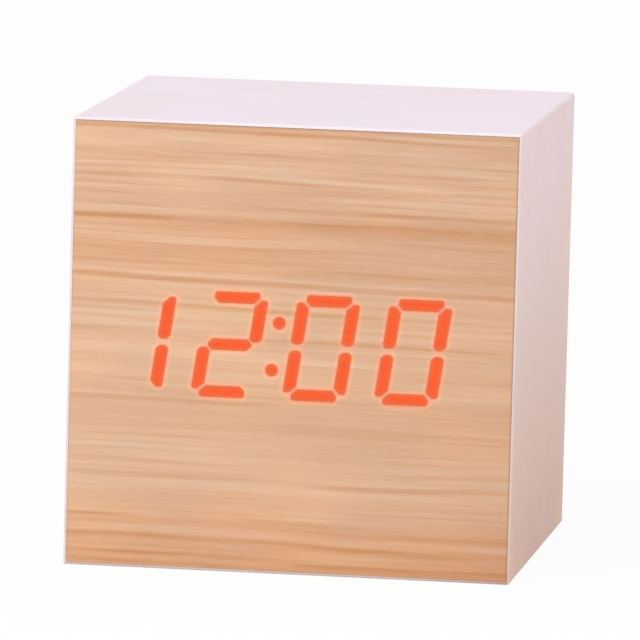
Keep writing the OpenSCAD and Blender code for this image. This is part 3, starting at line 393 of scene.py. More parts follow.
def lit_finish(colours, sizes):
    """Veneer lit from behind: bright in the middle of a stroke, softer at its edge, with a little grain."""
    finish = Finish("lit_wood")
    grain = finish.noise(mm(14.0, 10.0, 0.5), rough=0.55, turn=(0.0, sizes.grain_slope, 0.0))
    rim = finish.span(finish.attribute("gap"), RIM_HOLD * sizes.stroke_rim, sizes.stroke_rim, 1.0, 0.0)
    strength = finish.math("MULTIPLY_ADD", rim, RIM_STRENGTH - CORE_STRENGTH, CORE_STRENGTH)
    finish.set(
        Base_Color=finish.blend(rim, colours.lit_wood, colours.lit_rim),
        Roughness=finish.span(grain, 0.3, 0.7, 0.45, 0.6),
        Specular_IOR_Level=0.3,
        Emission_Color=colours.lit_core,
        Emission_Strength=finish.math("MULTIPLY", strength, finish.span(grain, 0.3, 0.7, 0.95, 1.05)),
    )
    finish.bump(grain, strength=0.2, depth=0.03 * MM)
    return finish.material


def film_finish(colours):
    """Printed film: soft clouds, faint streaks, a fine orange-peel surface, rubbed edges lightened by a
    painted highlight, and painted shade darker and warmer towards the base.
    """
    finish = Finish("film")
    clouds = finish.noise(16.0 * MM)
    streaks = finish.noise(mm(18.0, 4.5, 3.0))
    peel = finish.noise(0.35 * MM, detail=1.0)
    tone = finish.blend(finish.span(clouds, 0.3, 0.7), colours.film, colours.film_warm)
    tone = finish.blend(finish.span(streaks, 0.35, 0.7, 0.0, 0.24), tone, colours.film_streak_and_edge_highlight)
    # Painted shade: the film darker and warmer towards the base, where less light falls
    level = finish.axis(finish.place(CASE_SIZE), "Z")
    tone = finish.blend(finish.span(level, 1.0, 0.0), tone, colours.film_painted_shade)
    # Painted highlight along the film's edges: this mask lightens them towards the edge colour, and also
    # makes them a little rougher, as rubbed film
    middle = finish.place(HALF_CASE, shift=(0.0, 0.0, HALF_CASE))
    sides = [finish.math("ABSOLUTE", finish.axis(middle, name)) for name in ("X", "Y", "Z")]
    pairs = [finish.math("MINIMUM", sides[i], sides[i - 1]) for i in range(3)]
    nearest = finish.math("MAXIMUM", finish.math("MAXIMUM", pairs[0], pairs[1]), pairs[2])
    uneven = finish.span(streaks, 0.2, 0.6, 0.5, 1.0)
    rubbed = finish.math("MULTIPLY", finish.span(nearest, 0.978, 0.992), uneven)
    finish.set(
        Base_Color=finish.blend(finish.math("MULTIPLY", rubbed, 0.35), tone, colours.film_streak_and_edge_highlight),
        Roughness=finish.math("MULTIPLY_ADD", rubbed, 0.12, finish.span(streaks, 0.3, 0.7, 0.48, 0.58)),
        Specular_IOR_Level=0.22,
    )
    finish.bump(finish.math("MULTIPLY_ADD", peel, 0.4, streaks), strength=0.15, depth=0.02 * MM)
    return finish.material


def fibreboard_finish(colours):
    """Pressed fibre: short light and dark fibres over soft clouds."""
    finish = Finish("fibreboard")
    clouds = finish.noise(6.0 * MM, detail=3.0)
    fibres = finish.noise(mm(1.2, 1.2, 0.4), detail=3.0, rough=0.7)
    dark = shade(colours.fibreboard, 0.62)
    light = shade(colours.fibreboard, 1.35)
    tone = finish.blend(finish.span(fibres, 0.3, 0.7), dark, light)
    tone = finish.blend(finish.span(clouds, 0.3, 0.7, 0.25, 0.6), tone, colours.fibreboard)
    finish.set(
        Base_Color=tone, Roughness=finish.span(fibres, 0.3, 0.7, 0.8, 0.95), Specular_IOR_Level=0.25
    )
    finish.bump(fibres, strength=0.4, depth=0.08 * MM)
    return finish.material


def pine_finish(colours, name, stretch):
    """Sawn softwood with its grain along one axis."""
    finish = Finish(name)
    rings = finish.noise(mm(*(1.4 * part for part in stretch)), warp=0.4)
    pores = finish.noise(mm(*(0.3 * part for part in stretch)), rough=0.6)
    dark = shade(colours.pine, 0.7)
    tone = finish.blend(finish.span(rings, 0.35, 0.65), colours.pine, dark)
    tone = finish.blend(finish.span(pores, 0.45, 0.8, 0.0, 0.35), tone, dark)
    finish.set(Base_Color=tone, Roughness=finish.span(pores, 0.3, 0.7, 0.6, 0.8), Specular_IOR_Level=0.3)
    finish.bump(pores, strength=0.35, depth=0.06 * MM)
    return finish.material


def moulded_finish(name, tint, grain, rough):
    """Moulded plastic with an etched grain and lighter scuffs."""
    finish = Finish(name)
    etched = finish.noise(grain, rough=0.6)
    scuffs = finish.noise(mm(6.0, 3.0, 6.0), detail=3.0, rough=0.7, warp=0.6)
    clouds = finish.noise(12.0 * MM, detail=1.0)
    light = shade(tint, 1.5, 0.006)
    tone = finish.blend(finish.span(clouds, 0.3, 0.7, 0.0, 0.35), tint, light)
    tone = finish.blend(finish.span(scuffs, 0.6, 0.8, 0.0, 0.4), tone, light)
    shine = finish.math("MULTIPLY_ADD", finish.span(scuffs, 0.55, 0.8), -0.08, rough)
    finish.set(Base_Color=tone, Roughness=finish.swing(shine, etched, 0.18), Specular_IOR_Level=0.45)
    finish.bump(etched, strength=0.3, depth=0.03 * MM)
    return finish.material


def metal_finish(name, tint, rough, stretch=(1.0, 1.0, 1.0)):
    """Drawn or stamped metal: fine brushing, dull spots and a little tarnish."""
    finish = Finish(name)
    brushed = finish.noise(mm(*(0.12 * part for part in stretch)), rough=0.6)
    tarnish = finish.noise(2.2 * MM, detail=3.0, rough=0.65)
    tone = finish.blend(finish.span(tarnish, 0.45, 0.8, 0.0, 0.55), tint, shade(tint, 0.62))
    shine = finish.swing(rough, brushed, 0.22)
    finish.set(
        Base_Color=tone,
        Metallic=1.0,
        Roughness=finish.math("MULTIPLY_ADD", finish.span(tarnish, 0.45, 0.8), 0.15, shine),
    )
    finish.bump(brushed, strength=0.12, depth=0.01 * MM)
    return finish.material


def board_finish(colours):
    """Lacquered circuit board: copper runs under the lacquer, level in some fields and upright in others."""
    finish = Finish("board_green")
    fields = finish.node("ShaderNodeTexVoronoi", feature="F1")
    finish.feed(fields.inputs["Vector"], finish.place(mm(6.0, 20.0, 6.0)))
    finish.feed(fields.inputs["Scale"], 1.0)
    choice = finish.math("GREATER_THAN", finish.axis(fields.outputs["Color"], "X"), 0.5)
    where = finish.place(0.9 * MM)
    level, upright = (
        finish.span(finish.math("PINGPONG", finish.axis(where, name), 0.5), 0.30, 0.36) for name in ("Z", "X")
    )
    other = finish.math("MULTIPLY", upright, finish.math("SUBTRACT", 1.0, choice))
    runs = finish.math("MULTIPLY_ADD", level, choice, other)
    mottle = finish.noise(1.2 * MM, detail=3.0)
    tone = finish.blend(finish.span(mottle, 0.3, 0.7), colours.board, shade(colours.board, 0.75))
    tone = finish.blend(finish.math("MULTIPLY", runs, 0.8), tone, shade(colours.board, 2.1, 0.012))
    finish.set(
        Base_Color=tone, Roughness=finish.span(mottle, 0.3, 0.7, 0.28, 0.40), Specular_IOR_Level=0.5
    )
    finish.bump(runs, strength=0.4, depth=0.03 * MM)
    return finish.material


def milky_finish(colours, name, rough):
    """White or milky plastic with faint flow marks."""
    finish = Finish(name)
    flow = finish.noise(mm(4.0, 4.0, 1.5), warp=0.8)
    fine = finish.noise(0.3 * MM, detail=1.0)
    tone = finish.blend(finish.span(flow, 0.3, 0.7), colours.white, shade(colours.white, 0.9))
    finish.set(Base_Color=tone, Roughness=finish.span(fine, 0.3, 0.7, rough - 0.06, rough + 0.06))
    finish.bump(fine, strength=0.15, depth=0.01 * MM)
    return finish.material


def wire_finish(name, tint):
    """Drawn wire insulation with a soft sheen."""
    finish = Finish(name)
    scuffs = finish.noise(1.5 * MM, detail=3.0, rough=0.7)
    finish.set(
        Base_Color=finish.blend(finish.span(scuffs, 0.4, 0.75, 0.0, 0.6), tint, shade(tint, 1.4, 0.01)),
        Roughness=finish.span(scuffs, 0.3, 0.7, 0.38, 0.52),
    )
    finish.bump(scuffs, strength=0.15, depth=0.02 * MM)
    return finish.material


def ribbon_finish(colours, first_end):
    """Grey wires of a ribbon, red up to the end of the first wire."""
    finish = Finish("ribbon_grey")
    scuffs = finish.noise(1.5 * MM, detail=3.0, rough=0.7)
    first = finish.math("LESS_THAN", finish.axis(finish.place(1.0), "X"), first_end)
    tone = finish.blend(first, colours.ribbon, colours.lead_red)
    tone = finish.blend(finish.span(scuffs, 0.45, 0.8, 0.0, 0.4), tone, shade(colours.ribbon, 1.3))
    finish.set(Base_Color=tone, Roughness=finish.span(scuffs, 0.3, 0.7, 0.4, 0.55))
    finish.bump(scuffs, strength=0.15, depth=0.02 * MM)
    return finish.material


def cell_finish(colours, name, minus_x, plus_x):
    """A cell's printed jacket between its bare metal ends, with a band at the positive end."""
    finish = Finish(name)
    way = 1.0 if plus_x > minus_x else -1.0
    along = finish.axis(finish.place(way * MM, shift=(minus_x, 0.0, 0.0)), "X")
    print_grain = finish.noise(mm(0.8, 0.3, 0.3))
    rubbed = finish.noise(mm(8.0, 2.0, 2.0), detail=3.0, rough=0.7)
    band = finish.span(along, CELL_BAND - CELL_BAND_BLUR, CELL_BAND + CELL_BAND_BLUR)
    line = finish.math("COMPARE", along, CELL_LINE, CELL_LINE_HALF)
    tone = finish.blend(band, colours.jacket, colours.jacket_band)
    tone = finish.blend(line, tone, colours.mark)
    tone = finish.blend(finish.span(print_grain, 0.3, 0.7, 0.0, 0.10), tone, colours.mark)
    tone = finish.blend(finish.span(rubbed, 0.6, 0.8, 0.0, 0.25), tone, colours.can)
    minus_end = finish.math("LESS_THAN", along, CELL_MINUS_END)
    plus_end = finish.math("GREATER_THAN", along, CELL_PLUS_END)
    bare = finish.math("ADD", minus_end, plus_end)
    finish.set(
        Base_Color=finish.blend(bare, tone, colours.nickel),
        Metallic=bare,
        Roughness=finish.math("MULTIPLY_ADD", finish.span(rubbed, 0.5, 0.8), 0.15, 0.26),
        Coat_Weight=0.3,
        Coat_Roughness=0.15,
    )
    finish.bump(print_grain, strength=0.05, depth=0.01 * MM)
    return finish.material


# Shapes

# Points closer than these are one, or lie in one plane, and sides within this angle are flat
MERGE_DISTANCE = 0.001 * MM
PLANE_DISTANCE = 0.01 * MM
FLAT_ANGLE = math.radians(1.0)
# Keeps a division by the squared length of a very short edge safe
LEAST_SQUARE = 1e-18
# Cuts in each edge of the fine faces, and the cutter's depth in thicknesses of the veneer
ZONE_CUTS = 2
CUTTER_DEPTH = 3.0
# Share of a mark's height that its soft edge takes, and the ring's width in radii and its steps
MARK_EDGE = 0.4
RING_WIDTH = 0.45
RING_STEPS = 32
# Length of the pine's grain in widths
PINE_STRETCH = 14.0
# Wires in the ribbon, and the share of the first one's pitch that is red
RIBBON_WIRES = 6
RED_SHARE = 0.8


def merged_copy(*names):
    """One bmesh of the named nodes with their loose triangles merged and flat sides joined."""
    mesh = bmesh.new()
    for name in names:
        mesh.from_mesh(NODES[name].data)
    bmesh.ops.remove_doubles(mesh, verts=mesh.verts, dist=MERGE_DISTANCE)
    bmesh.ops.dissolve_limit(
        mesh, angle_limit=FLAT_ANGLE, verts=mesh.verts, edges=mesh.edges, use_dissolve_boundaries=False
    )
    return mesh


def piece(name, mesh, material):
    """A new object from a bmesh, at the origin."""
    data = bpy.data.meshes.new(name)
    mesh.to_mesh(data)
    mesh.free()
    made = bpy.data.objects.new(name, data)
    bpy.context.scene.collection.objects.link(made)
    if material is not None:
        data.materials.append(material)
    return made


def dress(material, *names):
    """Gives CAD nodes a material."""
    for name in names:
        data = NODES[name].data
        data.materials.clear()
        data.materials.append(material)


def front_edges(mesh, front_y):
    """Edges round the front faces of upright shapes, as an array of start and end points in X and Z."""
    ends = []
    for edge in mesh.edges:
        if all(abs(vert.co.y - front_y) < PLANE_DISTANCE for vert in edge.verts):
            first, last = (vert.co for vert in edge.verts)
            ends.append((first.x, first.z, last.x, last.z))
    return numpy.array(ends)


def distance_to_edges(points, ends):
    """Least distance from each point to the edges, in the front plane."""
    start = ends[None, :, 0:2]
    run = ends[None, :, 2:4] - start
    away = points[:, None, :] - start
    share = (away * run).sum(2) / numpy.maximum((run * run).sum(2), LEAST_SQUARE)
    nearest = start + numpy.clip(share, 0.0, 1.0)[:, :, None] * run
    return numpy.sqrt(((points[:, None, :] - nearest) ** 2).sum(2)).min(1)


def carry_gap(made, ends):
    """Gives each point of a piece its distance to the edges of the strokes, for its finish to read."""
    points = numpy.array([vert.co for vert in made.data.vertices])
    gap = distance_to_edges(points[:, (0, 2)], ends)
    carried = made.data.attributes.new("gap", "FLOAT", "POINT")
    carried.data.foreach_set("value", gap.astype(numpy.float32))


def cut_in_cells(mesh, low, high, cell):
    """Cuts a mesh by upright and level planes, so that its flat faces have points all over."""
    for axis in (0, 2):
        way = Vector((0.0, 0.0, 0.0))
        way[axis] = 1.0
        for step in range(1, math.ceil((high[axis] - low[axis]) / cell)):
            bmesh.ops.bisect_plane(
                mesh, geom=mesh.verts[:] + mesh.edges[:] + mesh.faces[:], dist=MERGE_DISTANCE,
                plane_co=low + way * step * cell, plane_no=way,
            )


def veneer_sheet(low, high, cell, zone_low, zone_high):
    """A thin sheet with small faces on its front, three times finer inside a zone."""
    mesh = bmesh.new()
    across = round((high.x - low.x) / cell)
    up = round((high.z - low.z) / cell)
    bmesh.ops.create_grid(mesh, x_segments=across, y_segments=up, size=0.5)
    middle = (low + high) / 2
    matrix = (
        Matrix.Translation((middle.x, low.y, middle.z))
        @ Matrix.Rotation(math.radians(90.0), 4, "X")
        @ Matrix.Diagonal((high.x - low.x, high.z - low.z, 1.0, 1.0))
    )
    bmesh.ops.transform(mesh, matrix=matrix, verts=mesh.verts)
    fine = [
        face for face in mesh.faces
        if zone_low.x < face.calc_center_median().x < zone_high.x
        and zone_low.z < face.calc_center_median().z < zone_high.z
    ]
    edges = list({edge for face in fine for edge in face.edges})
    bmesh.ops.subdivide_edges(mesh, edges=edges, cuts=ZONE_CUTS, use_grid_fill=True)
    rim = [edge for edge in mesh.edges if edge.is_boundary]
    pulled = bmesh.ops.extrude_edge_only(mesh, edges=rim)["geom"]
    verts = [part for part in pulled if isinstance(part, bmesh.types.BMVert)]
    bmesh.ops.translate(mesh, verts=verts, vec=(0.0, high.y - low.y, 0.0))
    bmesh.ops.edgeloop_fill(mesh, edges=[edge for edge in mesh.edges if edge.is_boundary])
    bmesh.ops.recalc_face_normals(mesh, faces=mesh.faces)
    return mesh


def cut_by(made, cutter):
    """Cuts one object out of another, removes the cutter and splits the many-sided faces that it left."""
    step = made.modifiers.new("cut", "BOOLEAN")
    step.operation = "DIFFERENCE"
    step.solver = "EXACT"
    step.object = cutter
    shown = made.evaluated_get(bpy.context.evaluated_depsgraph_get())
    old = made.data
    made.data = bpy.data.meshes.new_from_object(shown)
    made.modifiers.clear()
    made.data.name = made.name
    bpy.data.meshes.remove(old)
    old = cutter.data
    bpy.data.objects.remove(cutter)
    bpy.data.meshes.remove(old)
    mesh = bmesh.new()
    mesh.from_mesh(made.data)
    bmesh.ops.remove_doubles(mesh, verts=mesh.verts, dist=MERGE_DISTANCE)
    many_sided = [face for face in mesh.faces if len(face.verts) > 4]
    bmesh.ops.triangulate(mesh, faces=many_sided, quad_method="BEAUTY", ngon_method="BEAUTY")
    mesh.to_mesh(made.data)
    mesh.free()


def raised_ring(radius, width, height):
    """A ring that stands up from the XY plane, spun from a section with soft upper corners."""
    mesh = bmesh.new()
    bmesh.ops.create_grid(mesh, x_segments=1, y_segments=1, size=0.5)
    upright = (
        Matrix.Translation((radius - width / 2, 0.0, height / 2))
        @ Matrix.Rotation(math.radians(90.0), 4, "X")
        @ Matrix.Diagonal((width, height, 1.0, 1.0))
    )
    bmesh.ops.transform(mesh, matrix=upright, verts=mesh.verts)
    corners = [vert for vert in mesh.verts if vert.co.z > height / 2]
    bmesh.ops.bevel(
        mesh, geom=corners, offset=height * MARK_EDGE, segments=2, profile=0.5, affect="VERTICES", material=-1
    )
    bmesh.ops.delete(mesh, geom=mesh.faces[:], context="FACES_ONLY")
    bmesh.ops.spin(
        mesh, geom=mesh.verts[:] + mesh.edges[:], cent=(0.0, 0.0, 0.0), axis=(0.0, 0.0, 1.0),
        angle=math.tau, steps=RING_STEPS, use_merge=True,
    )
    bmesh.ops.recalc_face_normals(mesh, faces=mesh.faces)
    return mesh


def raised_triangle(radius, height):
    """A triangle that stands up from the XY plane, with soft upper edges and one corner at +Y."""
    mesh = bmesh.new()
    bmesh.ops.create_circle(mesh, cap_ends=True, segments=3, radius=radius)
    top = bmesh.ops.extrude_face_region(mesh, geom=mesh.faces[:], use_keep_orig=True)["geom"]
    verts = [part for part in top if isinstance(part, bmesh.types.BMVert)]
    bmesh.ops.translate(mesh, verts=verts, vec=(0.0, 0.0, height))
    bmesh.ops.recalc_face_normals(mesh, faces=mesh.faces)
    sharp = [edge for edge in mesh.edges if all(vert.co.z > height / 2 for vert in edge.verts)]
    bmesh.ops.bevel(
        mesh, geom=sharp, offset=height * MARK_EDGE, segments=2, profile=0.5, affect="EDGES", material=-1
    )
    return mesh


# Operators, one for each piece or group of like pieces


class CLOCK_OT_front(bpy.types.Operator):
    """Lay the bamboo veneer on the front, with the light of the digits spread into it."""

    bl_idname = "clock.front"
    bl_label = "Bamboo Front"

    def execute(self, context):
        sizes = context.scene.clock_sizes
        low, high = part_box("front_veneer")
        reach = Vector((1.0, 0.0, 1.0)) * sizes.veneer_reach
        low -= reach
        high += reach
        lit = merged_copy("lit_segments", "lit_colon")
        ends = front_edges(lit, low.y)
        if len(ends) == 0:
            raise RuntimeError("the lit strokes have no edges on the front")
        boxes = [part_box(name) for name in ("lit_segments", "lit_colon")]
        room = Vector((1.0, 0.0, 1.0)) * sizes.glow_zone
        zone_low = Vector(map(min, boxes[0][0], boxes[1][0])) - room
        zone_high = Vector(map(max, boxes[0][1], boxes[1][1])) + room
        sheet = veneer_sheet(low, high, sizes.veneer_cell, zone_low, zone_high)
        finish = bamboo_finish(context.scene.clock_colours, sizes, (high.x - low.x) / 2)
        front = piece("bamboo_front", sheet, finish)
        middle = Matrix.Translation((0.0, (low.y + high.y) / 2, 0.0))
        deeper = middle @ Matrix.Diagonal((1.0, CUTTER_DEPTH, 1.0, 1.0)) @ middle.inverted()
        bmesh.ops.transform(lit, matrix=deeper, verts=lit.verts)
        cut_by(front, piece("stroke_cutter", lit, None))
        carry_gap(front, ends)
        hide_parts("front_veneer")
        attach(front, "case")
        return {"FINISHED"}


class CLOCK_OT_digits(bpy.types.Operator):
    """Light the strokes of the digits and the colon's dots."""

    bl_idname = "clock.digits"
    bl_label = "Lit Digits"

    def execute(self, context):
        sizes = context.scene.clock_sizes
        material = lit_finish(context.scene.clock_colours, sizes)
        for name, node in (("lit_strokes", "lit_segments"), ("lit_dots", "lit_colon")):
            low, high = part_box(node)
            mesh = merged_copy(node)
            ends = front_edges(mesh, low.y)
            if len(ends) == 0:
                raise RuntimeError(f"{node} has no edges on the front")
            cut_in_cells(mesh, low, high, sizes.stroke_cell)
            made = piece(name, mesh, material)
            carry_gap(made, ends)
            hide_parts(node)
            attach(made, "case")
        return {"FINISHED"}


class CLOCK_OT_case(bpy.types.Operator):
    """Finish the film, the fibreboard panels and the wooden posts and rails."""

    bl_idname = "clock.case"
    bl_label = "Case"

    def execute(self, context):
        colours = context.scene.clock_colours
        dress(film_finish(colours), "wrap_film")
        dress(
            fibreboard_finish(colours),
            "top_panel", "bottom_panel", "left_panel", "right_panel", "front_board",
        )
        dress(pine_finish(colours, "pine_posts", (1.0, PINE_STRETCH, 1.0)), "corner_posts")
        dress(pine_finish(colours, "pine_rails", (PINE_STRETCH, 1.0, 1.0)), "board_rails")
        return {"FINISHED"}


class CLOCK_OT_back(bpy.types.Operator):
    """Finish the cover, the battery door and the screws."""

    bl_idname = "clock.back"
    bl_label = "Back Cover"

    def execute(self, context):
        colours = context.scene.clock_colours
        black = moulded_finish("cover_black", colours.cover, grain=0.22 * MM, rough=0.55)
        dress(black, "back_cover", "battery_door")
        dress(
            metal_finish("screw_steel", colours.steel, rough=0.34),
            "cover_screws", "main_board_screws", "key_board_screws",
        )
        return {"FINISHED"}


class CLOCK_OT_keys(bpy.types.Operator):
    """Finish the buttons and set a raised mark above each."""

    bl_idname = "clock.keys"
    bl_label = "Buttons"

    def execute(self, context):
        colours = context.scene.clock_colours
        sizes = context.scene.clock_sizes
        keys = ("set", "up", "down")
        dress(
            moulded_finish("button_black", colours.button, grain=0.4 * MM, rough=0.36),
            *[f"{key}_button" for key in keys],
        )
        paint = moulded_finish("mark_paint", colours.mark, grain=0.3 * MM, rough=0.5)
        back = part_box("back_cover")[1].y
        marks = {
            "set": (raised_ring(sizes.mark_size, sizes.mark_size * RING_WIDTH, sizes.mark_height), 0.0),
            "up": (raised_triangle(sizes.mark_size, sizes.mark_height), math.pi),
            "down": (raised_triangle(sizes.mark_size, sizes.mark_height), 0.0),
        }
        for key, (mesh, turn) in marks.items():
            low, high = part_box(f"{key}_button")
            place = Vector(((low.x + high.x) / 2, back, (low.z + high.z) / 2 + sizes.mark_rise))
            onto_back = (
                Matrix.Translation(place)
                @ Matrix.Rotation(math.radians(-90.0), 4, "X")
                @ Matrix.Rotation(turn, 4, "Z")
            )
            bmesh.ops.transform(mesh, matrix=onto_back, verts=mesh.verts)
            made = piece(f"{key}_mark", mesh, paint)
            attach(made, "case")
        return {"FINISHED"}


class CLOCK_OT_batteries(bpy.types.Operator):
    """Finish the cells, their contacts and springs, and the leads."""

    bl_idname = "clock.batteries"
    bl_label = "Batteries"

    def execute(self, context):
        colours = context.scene.clock_colours
        for number in (1, 2, 3):
            name = f"battery_cell_{number}"
            low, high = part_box(name)
            left_is_plus = number % 2 == 1
            minus_x, plus_x = (high.x, low.x) if left_is_plus else (low.x, high.x)
            dress(cell_finish(colours, f"cell_jacket_{number}", minus_x, plus_x), name)
        nickel = metal_finish("nickel", colours.nickel, rough=0.22, stretch=(1.0, 3.0, 1.0))
        dress(nickel, "contact_plates", "battery_springs")
        dress(wire_finish("lead_red", colours.lead_red), "positive_lead")
        dress(wire_finish("lead_black", colours.lead_black), "negative_lead")
        return {"FINISHED"}


class CLOCK_OT_display(bpy.types.Operator):
    """Finish the display's frame, fillings and chips."""

    bl_idname = "clock.display"
    bl_label = "Display"

    def execute(self, context):
        colours = context.scene.clock_colours
        dress(milky_finish(colours, "display_white", rough=0.5), "display_frame", "ribbon_headers")
        dress(milky_finish(colours, "diffuser", rough=0.3), "display_diffusers")
        dress(moulded_finish("led_yellow", colours.led, grain=0.3 * MM, rough=0.25), "led_chips")
        return {"FINISHED"}


class CLOCK_OT_boards(bpy.types.Operator):
    """Finish the circuit boards, what is on them, and the power socket."""

    bl_idname = "clock.boards"
    bl_label = "Boards and Socket"

    def execute(self, context):
        colours = context.scene.clock_colours
        dress(board_finish(colours), "display_base", "main_board", "key_board")
        dress(
            metal_finish("tinned", colours.tin, rough=0.30, stretch=(1.0, 6.0, 1.0)),
            "display_pins", "usb_shell", "controller_leads", "switch_covers", "switch_legs",
        )
        dress(metal_finish("gilt", colours.gilt, rough=0.25), "usb_contacts")
        dress(metal_finish("can", colours.can, rough=0.30), "crystal", "sound_sensor", "capacitors")
        dress(
            moulded_finish("chip_black", colours.epoxy, grain=0.15 * MM, rough=0.6),
            "controller_chip", "resistors", "buzzer", "temperature_sensor", "key_switches",
            "set_plunger", "up_plunger", "down_plunger", "usb_tongue",
        )
        low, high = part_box("ribbon_cable")
        pitch = (high.x - low.x) / RIBBON_WIRES
        dress(ribbon_finish(colours, low.x + RED_SHARE * pitch), "ribbon_cable")
        return {"FINISHED"}


class CLOCK_OT_stage(bpy.types.Operator):
    """Set the floor, the lights, the white surroundings and the camera."""

    bl_idname = "clock.stage"
    bl_label = "Stage"

    def execute(self, context):
        scene = context.scene
        scene.view_settings.view_transform = "Standard"
        set_floor(scene.clock_colours)
        set_lights(scene)
        set_world(scene)
        set_camera(scene)
        return {"FINISHED"}


FLOOR_RADIUS = 4.0
# The brown card at the clock's right: its middle, and how far out its fading starts and ends
CARD_PLACE = mm(70.0, 0.0, 0.0)
CARD_SOLID = 35.0 * MM
CARD_END = 65.0 * MM
# Share of plain white in the floor as it is seen. The rest is matt and shows the shadow
WHITE_SHARE = 0.94
# Name, place, size, power and tint of each lamp, and the point that they shine at
LAMPS = (
    ("key_lamp", (-0.9, -1.2, 1.5), 0.9, 21.0, (1.0, 0.99, 0.98)),
    ("fill_lamp", (1.35, -0.3, 0.32), 0.9, 5.8, (1.0, 0.875, 0.63)),
)
LAMP_TARGET = Vector((0.0, 0.0, 30.0 * MM))
SENSOR_WIDTH = 36.0
FAR_CLIP = 20.0


def seen_directly(tree):
    """1 for rays from the camera, from mirrors and through glass, and 0 for the light on surfaces."""
    path = tree.nodes.new("ShaderNodeLightPath")
    seen = path.outputs["Is Camera Ray"]
    for name in ("Is Glossy Ray", "Is Transmission Ray"):
        either = tree.nodes.new("ShaderNodeMath")
        either.operation = "MAXIMUM"
        tree.links.new(seen, either.inputs[0])
        tree.links.new(path.outputs[name], either.inputs[1])
        seen = either.outputs[0]
    return seen


def set_floor(colours):
    """A pale floor that looks white and keeps the clock's shadow, with a brown card at the right."""
    mesh = bmesh.new()
    bmesh.ops.create_circle(mesh, cap_ends=True, segments=96, radius=FLOOR_RADIUS)
    finish = Finish("floor")
    mottle = finish.noise(20.0 * MM, detail=3.0)
    away = finish.node("ShaderNodeVectorMath", operation="LENGTH")
    finish.feed(away.inputs[0], finish.place(1.0, shift=CARD_PLACE))
    card = finish.span(away.outputs["Value"], CARD_SOLID, CARD_END, 1.0, 0.0)
    pale = finish.blend(mottle, colours.floor, colours.floor_spot)
    finish.set(
        Base_Color=finish.blend(card, pale, colours.card),
        Roughness=0.9,
        Specular_IOR_Level=0.1,
    )
    white = finish.node("ShaderNodeEmission")
    finish.feed(white.inputs["Strength"], 1.0)
    matt = finish.node("ShaderNodeBsdfDiffuse")
    finish.feed(matt.inputs["Color"], finish.blend(mottle, colours.shaded, colours.shaded_spot))
    looks = finish.node("ShaderNodeMixShader")
    finish.feed(looks.inputs[0], WHITE_SHARE)
    finish.feed(looks.inputs[1], matt.outputs["BSDF"])
    finish.feed(looks.inputs[2], white.outputs["Emission"])
    mix = finish.node("ShaderNodeMixShader")
    finish.feed(mix.inputs[0], seen_directly(finish.tree))
    finish.feed(mix.inputs[1], finish.shader.outputs["BSDF"])
    finish.feed(mix.inputs[2], looks.outputs["Shader"])
    output = finish.tree.nodes["Material Output"]
    finish.feed(output.inputs["Surface"], mix.outputs["Shader"])
    piece("floor", mesh, finish.material)


def set_lights(scene):
    """A large soft lamp above the front left, and a weaker one at the right."""
    for name, place, size, power, tint in LAMPS:
        lamp = bpy.data.lights.new(name, "AREA")
        lamp.size = size
        lamp.energy = power
        lamp.color = tint
        made = bpy.data.objects.new(name, lamp)
        made.location = place
        made.rotation_euler = (LAMP_TARGET - Vector(place)).to_track_quat("-Z", "Y").to_euler()
        scene.collection.objects.link(made)


def set_world(scene):
    """Soft light from all round that looks white: cooler above, warmer and dimmer at the right."""
    colours = scene.clock_colours
    world = bpy.data.worlds.new("surroundings")
    world.use_nodes = True
    tree = world.node_tree
    light = tree.nodes["Background"]
    coordinates = tree.nodes.new("ShaderNodeTexCoord")
    split = tree.nodes.new("ShaderNodeSeparateXYZ")
    tree.links.new(coordinates.outputs["Generated"], split.inputs["Vector"])
    sky = tree.nodes.new("ShaderNodeValToRGB")
    sky.color_ramp.elements[0].color = (*colours.sky_low, 1.0)
    sky.color_ramp.elements[1].color = (*colours.sky_high, 1.0)
    tree.links.new(split.outputs["Z"], sky.inputs["Fac"])
    dim = tree.nodes.new("ShaderNodeMix")
    dim.data_type = "RGBA"
    dim.blend_type = "MULTIPLY"
    dim.inputs[7].default_value = (*colours.sky_right, 1.0)
    tree.links.new(split.outputs["X"], dim.inputs[0])
    tree.links.new(sky.outputs["Color"], dim.inputs[6])
    tree.links.new(dim.outputs[2], light.inputs["Color"])
    light.inputs["Strength"].default_value = 1.0
    white = tree.nodes.new("ShaderNodeBackground")
    white.inputs["Color"].default_value = (1.0, 1.0, 1.0, 1.0)
    mix = tree.nodes.new("ShaderNodeMixShader")
    tree.links.new(seen_directly(tree), mix.inputs[0])
    tree.links.new(light.outputs["Background"], mix.inputs[1])
    tree.links.new(white.outputs["Background"], mix.inputs[2])
    tree.links.new(mix.outputs["Shader"], tree.nodes["World Output"].inputs["Surface"])
    scene.world = world


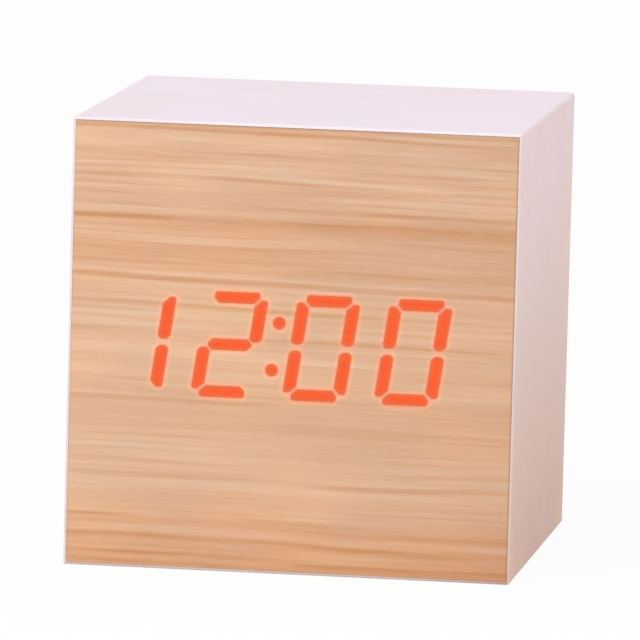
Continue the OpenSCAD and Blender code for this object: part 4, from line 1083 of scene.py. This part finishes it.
def set_camera(scene):
    """A long lens at the photograph's angle."""
    sizes = scene.clock_sizes
    flat = math.cos(sizes.view_elevation)
    back = Vector((
        math.sin(sizes.view_azimuth) * flat,
        -math.cos(sizes.view_azimuth) * flat,
        math.sin(sizes.view_elevation),
    ))
    level = Vector((0.0, 0.0, 1.0)).cross(back).normalized()
    upright = back.cross(level)
    roll = sizes.view_roll
    right = level * math.cos(roll) + upright * math.sin(roll)
    up = upright * math.cos(roll) - level * math.sin(roll)
    low, high = (Vector(corner) for corner in CAD_BOX)
    data = bpy.data.cameras.new("camera")
    data.lens = sizes.view_lens
    data.sensor_width = SENSOR_WIDTH
    data.clip_end = FAR_CLIP
    made = bpy.data.objects.new("camera", data)
    turned = Matrix((right, up, back)).transposed().to_4x4()
    place = (low + high) / 2 + back * sizes.view_distance + right * sizes.view_right + up * sizes.view_up
    made.matrix_world = Matrix.Translation(place) @ turned
    scene.collection.objects.link(made)
    scene.camera = made


OPERATORS = (
    CLOCK_OT_front,
    CLOCK_OT_digits,
    CLOCK_OT_case,
    CLOCK_OT_back,
    CLOCK_OT_keys,
    CLOCK_OT_batteries,
    CLOCK_OT_display,
    CLOCK_OT_boards,
    CLOCK_OT_stage,
)


class CLOCK_PT_panel(bpy.types.Panel):
    """Lists the clock's operators, sizes and colours."""

    bl_idname = "CLOCK_PT_panel"
    bl_label = "Cube Alarm Clock"
    bl_space_type = "VIEW_3D"
    bl_region_type = "UI"
    bl_category = "Clock"

    def draw(self, context):
        layout = self.layout
        for operator in OPERATORS:
            layout.operator(operator.bl_idname)
        for group in (context.scene.clock_sizes, context.scene.clock_colours):
            box = layout.box()
            for name in group.__annotations__:
                box.prop(group, name)


CLASSES = (ClockSizes, ClockColours, *OPERATORS, CLOCK_PT_panel)


def register():
    """Adds the classes and the scene's properties."""
    for item in CLASSES:
        bpy.utils.register_class(item)
    bpy.types.Scene.clock_sizes = PointerProperty(type=ClockSizes)
    bpy.types.Scene.clock_colours = PointerProperty(type=ClockColours)


def unregister():
    """Removes what register added."""
    del bpy.types.Scene.clock_colours
    del bpy.types.Scene.clock_sizes
    for item in reversed(CLASSES):
        bpy.utils.unregister_class(item)


def main():
    """Builds every piece and the stage."""
    register()
    bpy.ops.clock.front()
    bpy.ops.clock.digits()
    bpy.ops.clock.case()
    bpy.ops.clock.back()
    bpy.ops.clock.keys()
    bpy.ops.clock.batteries()
    bpy.ops.clock.display()
    bpy.ops.clock.boards()
    bpy.ops.clock.stage()


if __name__ == "__main__":
    main()
